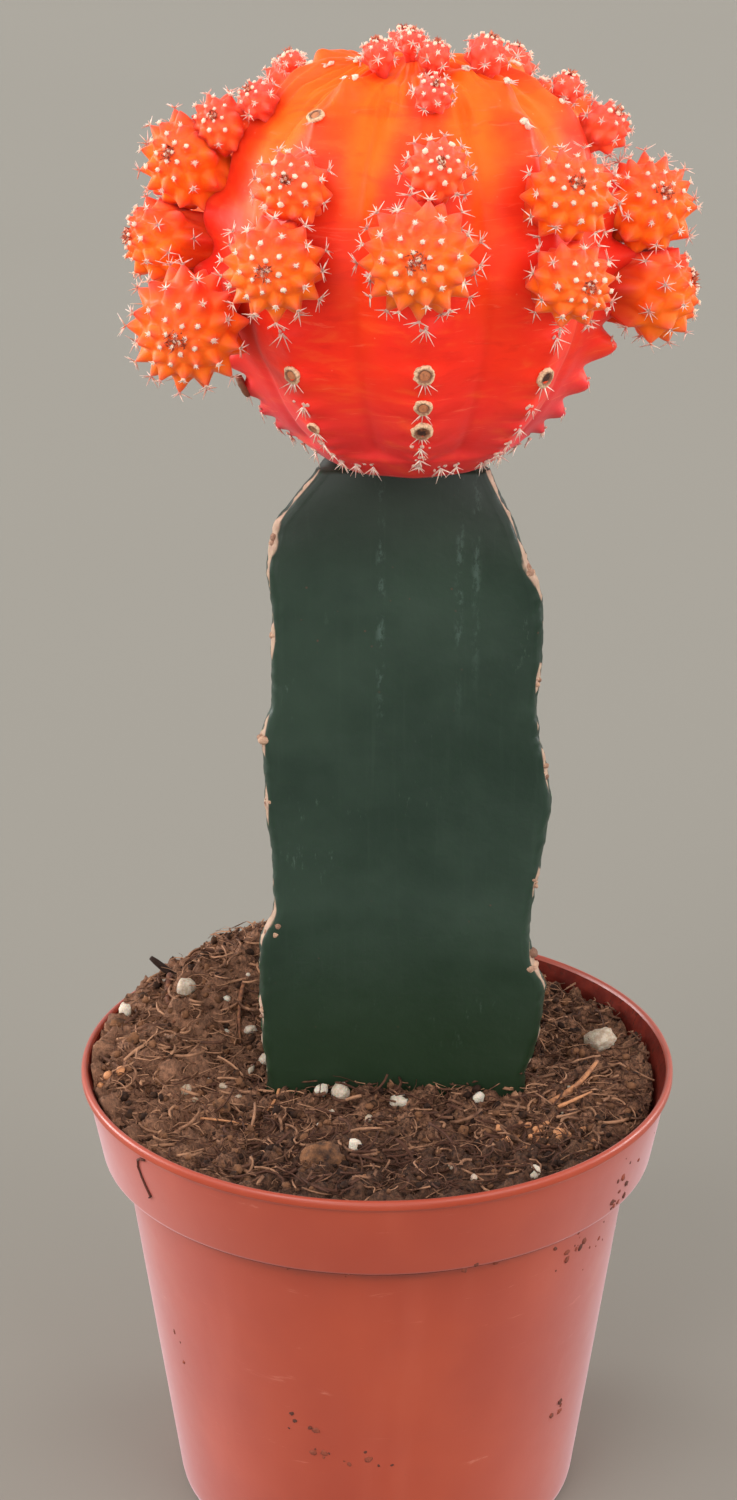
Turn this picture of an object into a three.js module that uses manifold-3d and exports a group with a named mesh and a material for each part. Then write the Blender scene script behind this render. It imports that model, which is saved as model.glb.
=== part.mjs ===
// A potted moon cactus: an orange-red grafted head with many small offsets, on a three-angled
// green rootstock, in a plain round plastic pot of soil. Millimetres, +Z up, -Y to the viewer.
// The origin is the middle of the pot's foot.

import * as THREE from "three";
import { mergeVertices } from "three/addons/utils/BufferGeometryUtils.js";
import { ConvexGeometry } from "three/addons/geometries/ConvexGeometry.js";
import Module from "manifold-3d";

const wasm = await Module();
wasm.setup();

// Pot
const RIM_RADIUS = 42.5;
const POT_HEIGHT = 67.5;
const POT_SEGMENTS = 40;
const WALL = 1.1;
const FOOT_RADIUS = 29;
const FOOT_RING_INNER = 26;
const WAIST_RADIUS = 36.9;
const COLLAR_UNDERSIDE = 54.3;
const COLLAR_RADIUS = 39.6;
const COLLAR_FLARE = 0.9;
const LIP_HEIGHT = 2.1;
const LIP_PROUD = 0.8;
const LIP_WIDTH = 2.1;
const EDGE_ROUND = 0.5;
const FLOOR_UNDERSIDE = 1.2;
const FLOOR_TOP = 2.6;
const DRAIN_COUNT = 6;
const DRAIN_RADIUS = 3;
const DRAIN_RING = 19;
const DRAIN_SIDES = 10;

// Soil
const CLEARANCE = 0.3;
const SOIL_LEVEL = 64.2;
const SOIL_SEGMENTS = 40;
const SOIL_RINGS = [35, 29.5, 24, 18, 12];
const BANK_BEARING = 222;
const BANK_RADIUS = 31;
const BANK_HEIGHT = 7;
const BANK_SPAN = 34;
const BANK_WIDTH = 8.5;
const FRONT_RISE = 2;
const CRUMB_RELIEF = 0.9;

// Perlite grains and bark lumps that stand out of the soil: x, y, radius.
const LUMPS = [
  [-28, 13, 1.5],
  [-35.5, 7.5, 1.2],
  [-18, 6.5, 1.3],
  [-7.5, -10.5, 1.6],
  [4.5, -12, 1.3],
  [33.5, 2.5, 2],
  [-6.5, -22, 2.6],
  [24, -25, 1.3],
  [16, 27, 1.5],
  [-4, 32, 1.7],
];

// Rootstock: height, left margin and right margin of its broad front face.
const STEM_STATIONS = [
  [35, -15.6, 21],
  [67.8, -15.6, 21],
  [71.5, -16.2, 22.5],
  [77.5, -16.5, 23.5],
  [81.5, -16.6, 23.7],
  [85, -16.5, 21.8],
  [89, -16.3, 21.3],
  [92.5, -14.3, 21.4],
  [101, -14.5, 22.8],
  [108.5, -15.4, 24],
  [114.5, -15.4, 23.2],
  [119, -15.9, 21.9],
  [123, -14.4, 21.5],
  [131, -14.3, 22.2],
  [137.5, -14.1, 22.4],
  [143, -14.8, 20.9],
  [148.5, -14.1, 18.7],
  [153.2, -11.9, 16.8],
  [155, -10.8, 16],
];
const STEM_FRONT = -5.6;
const STEM_AXIS_Y = 4.6;
const STEM_FACE_DEPTH = 8.9;
const STEM_BACK = 25.4;
const STEM_BACK_WAVE = 1;
const STEM_BACK_WAVELENGTH = 31;
const STEM_SHOULDER = 143;
const STEM_SHOULDER_CUT = 7;
const RIB_EDGE_HALF = 1.2;
const RIB_EDGE_CHAMFER = 0.9;
const STEM_TOP = STEM_STATIONS.at(-1)[0];

// Grafted head: its middle, the bearings of its ribs (0 faces the viewer, 90 is +X), and how far
// each rib's row of areoles is shifted down, in areole spacings.
const HEAD = new THREE.Vector3(4.5, 2.5, 182.3);
const RIB_BEARINGS = [3, 43, 88, 135, 182, 228, 275, 322];
const RIB_PHASES = [0, 0.42, 0.4, 0.1, 0.55, 0.3, 0.6, 0.27];
const COLUMNS_PER_RIB = 4;
const AREOLES_PER_RIB = 10;
const ROW_START = 60;
const ROW_LIMIT = -75;
const ROW_DECAY = 0.22;
const NOTCH_RADIUS = 26.3;
const VALLEY_DEPTH = 1.8;
const CREST_SHARPNESS = 1.25;
const CHIN_SHARPNESS = 3;
const CHIN_SHARE = 0.5;
const CHIN_SHARE_AT_TOP = 0.08;
const LOWER_SWELL = 1.5;
const HEAD_TOP = 26;
const HEAD_BASE = HEAD.z - STEM_TOP - CLEARANCE;
const HEAD_BASE_RADIUS = 13.3;
const AREOLE_HALF_WIDTH = 0.9;
const HEAD_SPINE = 3.2;

// Rings of the head for each areole, as shares of an areole spacing: notch, chin and slope.
const RING_STEPS = [-0.18, 0.12, 0.5];
const RING_RISE = [0, 1, 0.55];

// Offsets: bearing and latitude of the seat, radius, stalk length, and the bearing and latitude
// that the offset's own tip faces.
const OFFSETS = [
  [-91, 24, 5.9, 0.3, -27, 21],
  [-87, 5, 5.3, 2.3, -74, 9],
  [-65, -10, 7.8, -0.8, -11, -1],
  [-90, 36, 3.7, 0, -20, 29],
  [-79, 46, 3, 0, -47, 46],
  [-102, 58, 1.8, 1.6, -89, 72],
  [-33, 27, 5.3, 0, -13, 26],
  [-33, 9, 6.6, 0, -12, 7],
  [8, 55, 2.9, 0, 12, 48],
  [6, 33, 4.8, 0, 7, 28],
  [1, 13, 7.8, 0, -5, 8],
  [41, 24, 6.2, 0, 9, 30],
  [38, 5, 5.9, 0, 28, 6],
  [88, 16, 5.6, 0.9, 23, 31],
  [83, -6, 5.2, 0.7, 82, 20],
  [93, 35, 3.4, 0.3, 59, 45],
  [96, 47, 2.5, 0.9, 63, 76],
  [-31, 73, 2.7, 0, -53, 75],
  [-3, 82, 1.8, 0, 0, 84],
  [16, 72, 2.7, 0, 26, 77],
  [60, 69, 3.4, 0, 71, 71],
  [136, 51, 3.2, 0, 130, 60],
  [134, 29, 5.6, 0, 140, 38],
  [135, 7, 6.6, 0, 128, 10],
  [183, 60, 2.8, 0, 190, 68],
  [181, 37, 4.9, 0, 176, 45],
  [182, 13, 7.4, 0, 184, 16],
  [184, -10, 4.3, 0, 180, -14],
  [229, 45, 3.6, 0, 226, 55],
  [227, 22, 6.2, 0, 232, 30],
  [229, -1, 6.9, 0, 225, 2],
];
const SEAT_RADIUS = 27.6;
const SEAT_SHARE = 0.68;
const PEAK_SHARE = 1.06;
const VALLEY_SHARE = 0.85;
const NECK_SHARE = 0.45;
const NECK_SIDES = 8;
const SPINE_RADIUS = 0.27;
const SPINE_ROOT = 0.6;
const SPINE_SHARE = 0.3;
const SPINE_LEAN = 0.6;
const STALK_LEAST = 0.2;
const NECKED_BELOW = 3.6;
const NECK_RUN_ON = 4;
const SPINE_SIDES = 3;
const SPINE_LEAST = 0.9;
const SPINE_GROWTH = 0.22;
const TUBERCLES_LEAST = 8;
const TUBERCLES_PER_MM = 2.6;
const TIP_CROWDING = 1.25;
const HEAD_MARGIN = 2.5;
const GOLDEN_ANGLE = Math.PI * (3 - Math.sqrt(5));

const DEGREE = Math.PI / 180;
const AXIS_Y = new THREE.Vector3(0, 1, 0);
const MERGE = 1e-4;

// Helpers on closed meshes

// Drops all but the positions, joins equal vertices, and turns the faces outwards.
function closed(geometry) {
  const bare = geometry.clone();
  bare.deleteAttribute("normal");
  bare.deleteAttribute("uv");
  const merged = mergeVertices(bare, MERGE);
  const corners = [];
  const index = merged.getIndex();
  for (let i = 0; i < index.count; i += 3) {
    const [a, b, c] = [0, 1, 2].map((k) => index.getX(i + k));
    if (a !== b && b !== c && c !== a) corners.push([a, b, c]);
  }
  const at = (k) => new THREE.Vector3().fromBufferAttribute(merged.getAttribute("position"), k);
  const volume = corners.reduce((sum, [a, b, c]) => sum + at(a).dot(at(b).cross(at(c))), 0);
  merged.setIndex(corners.flatMap(([a, b, c]) => (volume > 0 ? [a, b, c] : [a, c, b])));
  return merged;
}

function solidOf(geometry) {
  const clean = closed(geometry);
  return new wasm.Manifold(
    new wasm.Mesh({
      numProp: 3,
      vertProperties: new Float32Array(clean.getAttribute("position").array),
      triVerts: new Uint32Array(clean.getIndex().array),
    }),
  );
}

function geometryOf(solid) {
  const mesh = solid.getMesh();
  const geometry = new THREE.BufferGeometry();
  geometry.setAttribute("position", new THREE.BufferAttribute(mesh.vertProperties, 3));
  geometry.setIndex(new THREE.BufferAttribute(mesh.triVerts, 1));
  return geometry;
}

function named(name, geometry, material) {
  geometry.computeVertexNormals();
  const mesh = new THREE.Mesh(geometry, material);
  mesh.name = name;
  return mesh;
}

// Unit vector of a bearing and latitude, in radians.
function direction(bearing, latitude) {
  return new THREE.Vector3(
    Math.cos(latitude) * Math.sin(bearing),
    -Math.cos(latitude) * Math.cos(bearing),
    Math.sin(latitude),
  );
}

// Moves each vertex of a geometry to the place that a function of its index gives.
function moved(geometry, place) {
  const positions = geometry.getAttribute("position");
  for (let i = 0; i < positions.count; i += 1) {
    const point = place(i, new THREE.Vector3().fromBufferAttribute(positions, i));
    positions.setXYZ(i, point.x, point.y, point.z);
  }
  return geometry;
}

// A solid of revolution about +Z from points of radius and height.
function turned(profile, segments) {
  const points = profile.map(([radius, height]) => new THREE.Vector2(radius, height));
  return new THREE.LatheGeometry(points, segments).rotateX(Math.PI / 2);
}

// A closed tube through sections that each have the same number of points.
function lofted(sections) {
  const columns = sections[0].length;
  const rows = sections.length - 1;
  const tube = new THREE.CylinderGeometry(1, 1, 1, columns, rows);
  return moved(tube, (_, unit) => {
    const section = sections[Math.round((unit.y + 0.5) * rows)];
    if (Math.hypot(unit.x, unit.z) < 0.5) {
      const sum = section.reduce((total, point) => total.add(point), new THREE.Vector3());
      return sum.divideScalar(columns);
    }
    const turn = Math.atan2(unit.z, unit.x) / (2 * Math.PI);
    return section[(Math.round(turn * columns) + columns) % columns];
  });
}

// A three-sided spine from a root, sunk by SPINE_ROOT, to its tip.
function spine(root, way, length) {
  const needle = new THREE.ConeGeometry(SPINE_RADIUS, length + SPINE_ROOT, SPINE_SIDES);
  needle.translate(0, (length - SPINE_ROOT) / 2, 0);
  needle.applyQuaternion(new THREE.Quaternion().setFromUnitVectors(AXIS_Y, way));
  return solidOf(needle.translate(root.x, root.y, root.z));
}

// Pot

// Inner face of the pot, from the middle of the floor to the lip.
function potInside() {
  return [
    [0, FLOOR_TOP],
    [FOOT_RADIUS - 2 * WALL, FLOOR_TOP],
    [FOOT_RADIUS - WALL, FLOOR_TOP + WALL],
    [WAIST_RADIUS - LIP_PROUD, COLLAR_UNDERSIDE + WALL],
    [COLLAR_RADIUS - WALL, COLLAR_UNDERSIDE + COLLAR_FLARE + WALL],
    [RIM_RADIUS - LIP_WIDTH, POT_HEIGHT - LIP_WIDTH + EDGE_ROUND],
  ];
}

function potOutside() {
  return [
    [RIM_RADIUS - LIP_WIDTH + EDGE_ROUND, POT_HEIGHT - EDGE_ROUND],
    [RIM_RADIUS - 2 * EDGE_ROUND, POT_HEIGHT],
    [RIM_RADIUS, POT_HEIGHT - EDGE_ROUND],
    [RIM_RADIUS, POT_HEIGHT - 3 * EDGE_ROUND],
    [RIM_RADIUS - LIP_PROUD, POT_HEIGHT - LIP_HEIGHT],
    [COLLAR_RADIUS, COLLAR_UNDERSIDE + COLLAR_FLARE],
    [WAIST_RADIUS + EDGE_ROUND, COLLAR_UNDERSIDE],
    [WAIST_RADIUS, COLLAR_UNDERSIDE - 3 * EDGE_ROUND],
    [FOOT_RADIUS + EDGE_ROUND, 2 * EDGE_ROUND],
    [FOOT_RADIUS, 0],
    [FOOT_RING_INNER, 0],
    [FOOT_RING_INNER - EDGE_ROUND, FLOOR_UNDERSIDE],
    [0, FLOOR_UNDERSIDE],
  ];
}

function makePot() {
  let pot = solidOf(turned([...potInside(), ...potOutside()], POT_SEGMENTS));
  for (let hole = 0; hole < DRAIN_COUNT; hole += 1) {
    const turn = ((hole + 0.5) / DRAIN_COUNT) * 2 * Math.PI;
    const drain = new THREE.CylinderGeometry(DRAIN_RADIUS, DRAIN_RADIUS, 3 * FLOOR_TOP, DRAIN_SIDES);
    drain.rotateX(Math.PI / 2);
    drain.translate(DRAIN_RING * Math.sin(turn), DRAIN_RING * Math.cos(turn), FLOOR_TOP);
    pot = pot.subtract(solidOf(drain));
  }
  return geometryOf(pot);
}

// Rootstock

// One half of a face of the stem's section: from the edge of a rib to the middle of the face.
function stemFace(tip, middle, face, side, grow) {
  const outward = tip.clone().sub(middle).normalize();
  const across = new THREE.Vector3(-outward.y, outward.x, 0).multiplyScalar(side);
  const corner = tip
    .clone()
    .addScaledVector(outward, -RIB_EDGE_CHAMFER)
    .addScaledVector(across, RIB_EDGE_HALF + grow);
  const inward = face.clone().sub(middle).normalize();
  const depth = (point) => point.clone().sub(middle).dot(inward);
  return [0, 0.3, 0.65].map((share) => {
    const point = corner.clone().lerp(face, share);
    const eased = THREE.MathUtils.lerp(depth(corner), depth(face), Math.sin((share * Math.PI) / 2));
    return point.addScaledVector(inward, eased - depth(point));
  });
}

// Section of the stem at a station: three ribs with blunt edges and slightly hollow faces.
function stemSection([height, left, right], grow = 0) {
  const middle = new THREE.Vector3((left + right) / 2, STEM_AXIS_Y, height);
  const free = THREE.MathUtils.smoothstep(height, STEM_STATIONS[1][0], STEM_STATIONS[3][0]);
  const wave = free * STEM_BACK_WAVE * Math.sin((height / STEM_BACK_WAVELENGTH) * 2 * Math.PI);
  const shoulder = Math.max(0, (height - STEM_SHOULDER) / (STEM_TOP - STEM_SHOULDER));
  const back = STEM_BACK + wave - STEM_SHOULDER_CUT * shoulder;
  const tips = [
    new THREE.Vector3(left, STEM_FRONT + 3 * shoulder, height),
    new THREE.Vector3(right, STEM_FRONT + 3 * shoulder, height),
    new THREE.Vector3(middle.x, back, height),
  ];
  for (const tip of tips) {
    tip.addScaledVector(tip.clone().sub(middle).normalize(), grow);
  }
  return tips.flatMap((tip, k) => {
    const next = tips[(k + 1) % tips.length];
    const faceWay = direction(k * 120 * DEGREE, 0);
    const face = middle.clone().addScaledVector(faceWay, STEM_FACE_DEPTH + grow);
    const near = stemFace(tip, middle, face, 1, grow);
    const far = stemFace(next, middle, face, -1, grow).reverse();
    return [tip, ...near, face, ...far];
  });
}

function makeRootstock() {
  return closed(lofted(STEM_STATIONS.map((station) => stemSection(station))));
}

// Soil

function soilHeight(x, y) {
  const bearing = (Math.atan2(x, -y) / DEGREE + 360) % 360;
  const along = (bearing - BANK_BEARING) / BANK_SPAN;
  const across = (Math.hypot(x, y) - BANK_RADIUS) / BANK_WIDTH;
  const bank = BANK_HEIGHT * Math.exp(-along * along - across * across);
  const front = FRONT_RISE * THREE.MathUtils.smoothstep(-y, 16, 38);
  const crumbs = Math.sin(0.7 * x + 0.3 * y) * Math.cos(0.6 * y - 0.2 * x) + Math.sin(1.3 * x - y);
  return SOIL_LEVEL + bank + front + (CRUMB_RELIEF / 2) * crumbs;
}

// The potting mix as it fills the pot, with an uneven top.
function soilBody() {
  const sides = potInside().map(([radius, height]) => [
    Math.max(0, radius - CLEARANCE),
    height + CLEARANCE,
  ]);
  sides.pop();
  const edge = RIM_RADIUS - 3;
  const rings = [edge, ...SOIL_RINGS, 0].map((radius) => [radius, SOIL_LEVEL]);
  const body = turned([...sides, ...rings], SOIL_SEGMENTS);
  return moved(body, (_, point) => {
    if (point.z > SOIL_LEVEL - MERGE) point.z = soilHeight(point.x, point.y);
    return point;
  });
}

// Height at which a line straight down at x, y meets the soil.
function soilSurface(body, x, y) {
  const above = new THREE.Vector3(x, y, POT_HEIGHT + BANK_HEIGHT);
  const ray = new THREE.Raycaster(above, new THREE.Vector3(0, 0, -1));
  return ray.intersectObject(new THREE.Mesh(body))[0].point.z;
}

function makeSoil() {
  const body = closed(soilBody());
  let soil = solidOf(body);
  for (const [x, y, radius] of LUMPS) {
    const lump = new THREE.IcosahedronGeometry(radius, 0).scale(1, 0.85, 0.75);
    lump.rotateZ(x + y).translate(x, y, soilSurface(body, x, y) + 0.2 * radius);
    soil = soil.add(solidOf(lump));
  }
  const [foot, collar] = STEM_STATIONS.map((station) => stemSection(station, CLEARANCE));
  const below = foot.map((point) => point.clone().setZ(point.z - CLEARANCE));
  const above = collar.map((point) => point.clone().setZ(point.z + 2 * BANK_HEIGHT));
  return geometryOf(soil.subtract(solidOf(lofted([below, above]))));
}

// Head

// Latitude of a place on a rib, counted in areole spacings down from the first areole.
function latitudeAt(count) {
  return (ROW_LIMIT + (ROW_START - ROW_LIMIT) * Math.exp(-ROW_DECAY * count)) * DEGREE;
}

// Bearing, row shift and crest share (1 on a crest, 0 in a valley) of a column of the head.
function columnOf(column) {
  const ribs = RIB_BEARINGS.length;
  const rib = Math.floor(column / COLUMNS_PER_RIB) % ribs;
  const share = (column % COLUMNS_PER_RIB) / COLUMNS_PER_RIB;
  const next = (rib + 1) % ribs;
  const gap = (RIB_BEARINGS[next] - RIB_BEARINGS[rib] + 360) % 360;
  return {
    bearing: (RIB_BEARINGS[rib] + share * gap) * DEGREE,
    phase: THREE.MathUtils.lerp(RIB_PHASES[rib], RIB_PHASES[next], share),
    crest: Math.abs(1 - 2 * share),
  };
}

// Radius of the head at a latitude, for a crest share and the rise of a chin there. Chins stand
// out by a share of the areole spacing, less towards the top.
function headRadius(latitude, crest, rise) {
  const degrees = latitude / DEGREE;
  const lower = THREE.MathUtils.smoothstep(-degrees, -45, 12);
  const spacing = NOTCH_RADIUS * (1 - Math.exp(-ROW_DECAY)) * (latitude - ROW_LIMIT * DEGREE);
  const chin = spacing * THREE.MathUtils.lerp(CHIN_SHARE_AT_TOP, CHIN_SHARE, lower);
  const swell = LOWER_SWELL * THREE.MathUtils.smoothstep(-degrees, 25, 60);
  const valley = VALLEY_DEPTH * Math.cos(latitude) * (1 - crest ** CREST_SHARPNESS);
  return NOTCH_RADIUS + swell - valley + chin * rise * crest ** CHIN_SHARPNESS;
}

// The bare ribbed globe, flat below where it is grafted, grown by a margin for the offsets' seats.
function headBody(grow = 0) {
  const columns = RIB_BEARINGS.length * COLUMNS_PER_RIB;
  const rings = AREOLES_PER_RIB * RING_STEPS.length;
  const rows = rings + 3;
  const globe = new THREE.SphereGeometry(1, columns, rows);
  return moved(globe, (i) => {
    const row = Math.floor(i / (columns + 1));
    const { bearing, phase, crest } = columnOf(i % (columns + 1));
    if (row === 0) return new THREE.Vector3(0, 0, HEAD_TOP + grow);
    if (row === rows) return new THREE.Vector3(0, 0, -HEAD_BASE - grow);
    if (row === rows - 1) {
      const foot = direction(bearing, 0).multiplyScalar(HEAD_BASE_RADIUS + crest + grow);
      return foot.setZ(-HEAD_BASE - grow);
    }
    const ring = Math.max(0, row - 2);
    const step = ring % RING_STEPS.length;
    const count = phase + Math.floor(ring / RING_STEPS.length) + RING_STEPS[step];
    const latitude = row === 1 ? (latitudeAt(count) + Math.PI / 2) / 2 : latitudeAt(count);
    const radius = headRadius(latitude, crest, RING_RISE[step]);
    return direction(bearing, latitude).multiplyScalar(radius + grow);
  });
}

// Every areole of the ribs, with its place and the outward, downward and sideways directions.
function headAreoles() {
  return RIB_BEARINGS.flatMap((degrees, rib) => {
    const bearing = degrees * DEGREE;
    return Array.from({ length: AREOLES_PER_RIB }, (_, k) => {
      const latitude = latitudeAt(RIB_PHASES[rib] + k);
      const out = direction(bearing, latitude);
      return {
        place: out.clone().multiplyScalar(headRadius(latitude, 1, 0.6)),
        out,
        down: direction(bearing, latitude - Math.PI / 2),
        across: direction(bearing + Math.PI / 2, 0),
      };
    });
  });
}

// The two spines of an areole, one on each side of the crest, swept outwards and down.
function areoleSpines({ place, out, down, across }) {
  return [-1, 1].map((side) => ({
    root: place
      .clone()
      .addScaledVector(across, side * AREOLE_HALF_WIDTH)
      .addScaledVector(out, -AREOLE_HALF_WIDTH / 3),
    way: out
      .clone()
      .addScaledVector(down, 0.4)
      .addScaledVector(across, side)
      .normalize(),
  }));
}

function makeHead(offsets) {
  let head = solidOf(headBody());
  for (const { root, way } of headAreoles().flatMap(areoleSpines)) {
    const tip = root.clone().addScaledVector(way, HEAD_SPINE);
    const clear = offsets.every(
      ({ middle, reach }) =>
        root.distanceTo(middle) > reach + CLEARANCE && tip.distanceTo(middle) > reach + CLEARANCE,
    );
    if (clear && tip.z > 1 - HEAD_BASE) head = head.add(spine(root, way, HEAD_SPINE));
  }
  return geometryOf(head);
}

// Offsets

// Places of an offset worked out from its row of the table.
function offsetOf([bearing, latitude, radius, stalk, tipBearing, tipLatitude], index) {
  const way = direction(bearing * DEGREE, latitude * DEGREE);
  const spineLength = SPINE_LEAST + SPINE_GROWTH * radius;
  return {
    name: `offset_${String(index + 1).padStart(2, "0")}`,
    radius,
    stalk,
    way,
    middle: way.clone().multiplyScalar(SEAT_RADIUS + SEAT_SHARE * radius + stalk),
    tip: direction(tipBearing * DEGREE, tipLatitude * DEGREE),
    tubercles: Math.round(TUBERCLES_LEAST + TUBERCLES_PER_MM * radius),
    spineLength,
    reach: PEAK_SHARE * radius + spineLength,
  };
}

// Directions of an offset's tubercles: a spiral that runs from its tip and closes up there.
function tubercleWays({ tip, tubercles }) {
  const turn = new THREE.Quaternion().setFromUnitVectors(AXIS_Y, tip);
  return Array.from({ length: tubercles }, (_, i) => {
    const share = ((i + 0.5) / tubercles) ** TIP_CROWDING;
    const height = 1 - 2 * share;
    const width = Math.sqrt(1 - height * height);
    const angle = i * GOLDEN_ANGLE;
    const way = new THREE.Vector3(width * Math.cos(angle), height, width * Math.sin(angle));
    return way.applyQuaternion(turn);
  });
}

// The facets of an offset about its middle: for each three neighbouring tubercles, three facets
// that run down from two peaks to the dip between all three.
function tubercleFacets(offset) {
  const hull = new ConvexGeometry(tubercleWays(offset)).getAttribute("position");
  return Array.from({ length: hull.count }, (_, i) => {
    const first = i - (i % 3);
    const corners = [0, 1, 2].map((k) => new THREE.Vector3().fromBufferAttribute(hull, first + k));
    const dip = corners[0].clone().add(corners[1]).add(corners[2]);
    dip.setLength(VALLEY_SHARE * offset.radius);
    const [peak, next] = [corners[i % 3], corners[(i + 1) % 3]];
    peak.setLength(PEAK_SHARE * offset.radius);
    next.setLength(PEAK_SHARE * offset.radius);
    return { peak, next, dip };
  });
}

// Roots and directions of an offset's spines: one for each tubercle, on its lowest facet.
function tubercleSpines(offset, facets) {
  const lowest = new Map();
  for (const facet of facets) {
    const key = facet.peak.toArray().map((value) => value.toFixed(3)).join();
    const known = lowest.get(key);
    if (!known || facet.dip.dot(offset.tip) < known.dip.dot(offset.tip)) lowest.set(key, facet);
  }
  return [...lowest.values()].map(({ peak, next, dip }) => {
    const side = next.clone().add(dip).divideScalar(2);
    const root = peak.clone().lerp(side, SPINE_SHARE);
    const lean = root.clone().sub(peak).normalize();
    const way = peak.clone().normalize().addScaledVector(lean, SPINE_LEAN).normalize();
    return { root: root.add(offset.middle), way };
  });
}

// The neck that joins an offset to the globe, run on into the globe.
function neck({ radius, middle, way }) {
  const width = NECK_SHARE * radius;
  const length = radius + NECK_RUN_ON;
  const stem = new THREE.CylinderGeometry(width, width, length, NECK_SIDES);
  stem.translate(0, -length / 2, 0);
  stem.applyQuaternion(new THREE.Quaternion().setFromUnitVectors(AXIS_Y, way));
  return solidOf(stem.translate(...middle));
}

// The plane that parts two offsets: a point on it and the direction to the second one.
function partingPlane(one, other) {
  const way = other.middle.clone().sub(one.middle);
  const distance = way.length();
  way.normalize();
  const squares = distance ** 2 + (PEAK_SHARE * one.radius) ** 2 - (PEAK_SHARE * other.radius) ** 2;
  const along = squares / (2 * distance) - CLEARANCE / 2;
  return { along, way, near: distance < one.reach + other.reach, origin: one.middle };
}

function beyond({ along, way, origin }, point) {
  return point.clone().sub(origin).dot(way) - along;
}

// A block that fills the far side of a parting plane.
function partingBlock({ along, way, origin }, size) {
  const block = new THREE.BoxGeometry(size, size, size).translate(0, size / 2 + along, 0);
  block.applyQuaternion(new THREE.Quaternion().setFromUnitVectors(AXIS_Y, way));
  return solidOf(block.translate(...origin));
}

function makeOffset(offset, offsets, seatCutter) {
  const planes = offsets
    .filter((other) => other !== offset)
    .map((other) => partingPlane(offset, other))
    .filter((plane) => plane.near);
  const facets = tubercleFacets(offset);
  const ball = new THREE.BufferGeometry().setFromPoints(
    facets.flatMap(({ peak, next, dip }) => [peak, next, dip]),
  );
  let body = solidOf(ball.translate(...offset.middle));
  if (offset.stalk > STALK_LEAST || offset.radius < NECKED_BELOW) body = body.add(neck(offset));
  body = body.subtract(seatCutter);
  for (const plane of planes.filter(({ along }) => along < PEAK_SHARE * offset.radius + CLEARANCE)) {
    body = body.subtract(partingBlock(plane, 4 * offset.radius));
  }
  for (const { root, way } of tubercleSpines(offset, facets)) {
    const tip = root.clone().addScaledVector(way, offset.spineLength);
    const ends = [root, tip];
    const parted = planes.every((plane) => ends.every((end) => beyond(plane, end) < -3 * CLEARANCE));
    const offGlobe = ends.every((end) => end.length() > SEAT_RADIUS + HEAD_MARGIN);
    const inRim = Math.abs(tip.x + HEAD.x) < RIM_RADIUS - CLEARANCE;
    if (parted && offGlobe && inRim) body = body.add(spine(root, way, offset.spineLength));
  }
  return geometryOf(body);
}

// Materials

const terracotta = new THREE.MeshStandardMaterial({ color: 0xb45238, roughness: 0.45 });
const peat = new THREE.MeshStandardMaterial({ color: 0x4b3226, roughness: 1 });
const stemGreen = new THREE.MeshStandardMaterial({ color: 0x2f4a38, roughness: 0.5 });
const headRed = new THREE.MeshStandardMaterial({ color: 0xee3a22, roughness: 0.4 });
const offsetOrange = new THREE.MeshStandardMaterial({ color: 0xff6a1e, roughness: 0.45 });

// Assembly

const cactus = new THREE.Group();
cactus.add(named("pot", makePot(), terracotta));
cactus.add(named("soil", makeSoil(), peat));
cactus.add(named("rootstock", makeRootstock(), stemGreen));

const head = new THREE.Group();
head.position.copy(HEAD);
const offsets = OFFSETS.map(offsetOf);
head.add(named("scion", makeHead(offsets), headRed));
const seatCutter = solidOf(headBody(CLEARANCE));
for (const offset of offsets) {
  head.add(named(offset.name, makeOffset(offset, offsets, seatCutter), offsetOrange));
}
cactus.add(head);

export default cactus;
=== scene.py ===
"""Finishes for a potted moon cactus: an orange-red grafted head with many small offsets, on a
three-angled green rootstock, in a plain round plastic pot of potting mix.

Shapes are worked out in millimetres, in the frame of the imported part: +Z up, -Y to the viewer,
the origin at the middle of the pot's foot. A bearing of 0 faces the viewer and 90 faces +X."""

import math
import random

import bmesh
import bpy
import numpy as np
from mathutils import Matrix, Vector, noise


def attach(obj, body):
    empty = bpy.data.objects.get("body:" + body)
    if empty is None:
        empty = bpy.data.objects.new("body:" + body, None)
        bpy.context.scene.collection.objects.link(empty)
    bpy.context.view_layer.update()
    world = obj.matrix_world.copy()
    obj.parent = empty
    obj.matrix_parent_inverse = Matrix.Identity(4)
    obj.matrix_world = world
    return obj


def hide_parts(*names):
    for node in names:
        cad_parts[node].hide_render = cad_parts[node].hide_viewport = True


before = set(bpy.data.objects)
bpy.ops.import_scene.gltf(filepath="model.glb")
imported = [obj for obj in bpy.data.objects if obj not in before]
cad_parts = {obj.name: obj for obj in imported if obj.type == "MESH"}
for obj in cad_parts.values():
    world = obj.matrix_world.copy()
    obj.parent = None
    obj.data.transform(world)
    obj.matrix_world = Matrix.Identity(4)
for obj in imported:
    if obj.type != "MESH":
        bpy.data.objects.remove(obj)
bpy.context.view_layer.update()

MM = 0.001
UP = Vector((0, 0, 1))
ON_EDGE = Matrix.Rotation(math.pi / 2, 4, "X")
GOLDEN_ANGLE = math.pi * (3 - math.sqrt(5))
SCENE = bpy.context.scene
ops = bmesh.ops


def add_object(name, data):
    made = bpy.data.objects.new(name, data)
    SCENE.collection.objects.link(made)
    return made


# Camera

CAMERA_PLACE = (0, -0.391, 0.2673)
CAMERA_LENS = 72.74
LOOK_DOWN = 21.33
LOOK_LEFT = 0.18


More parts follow.
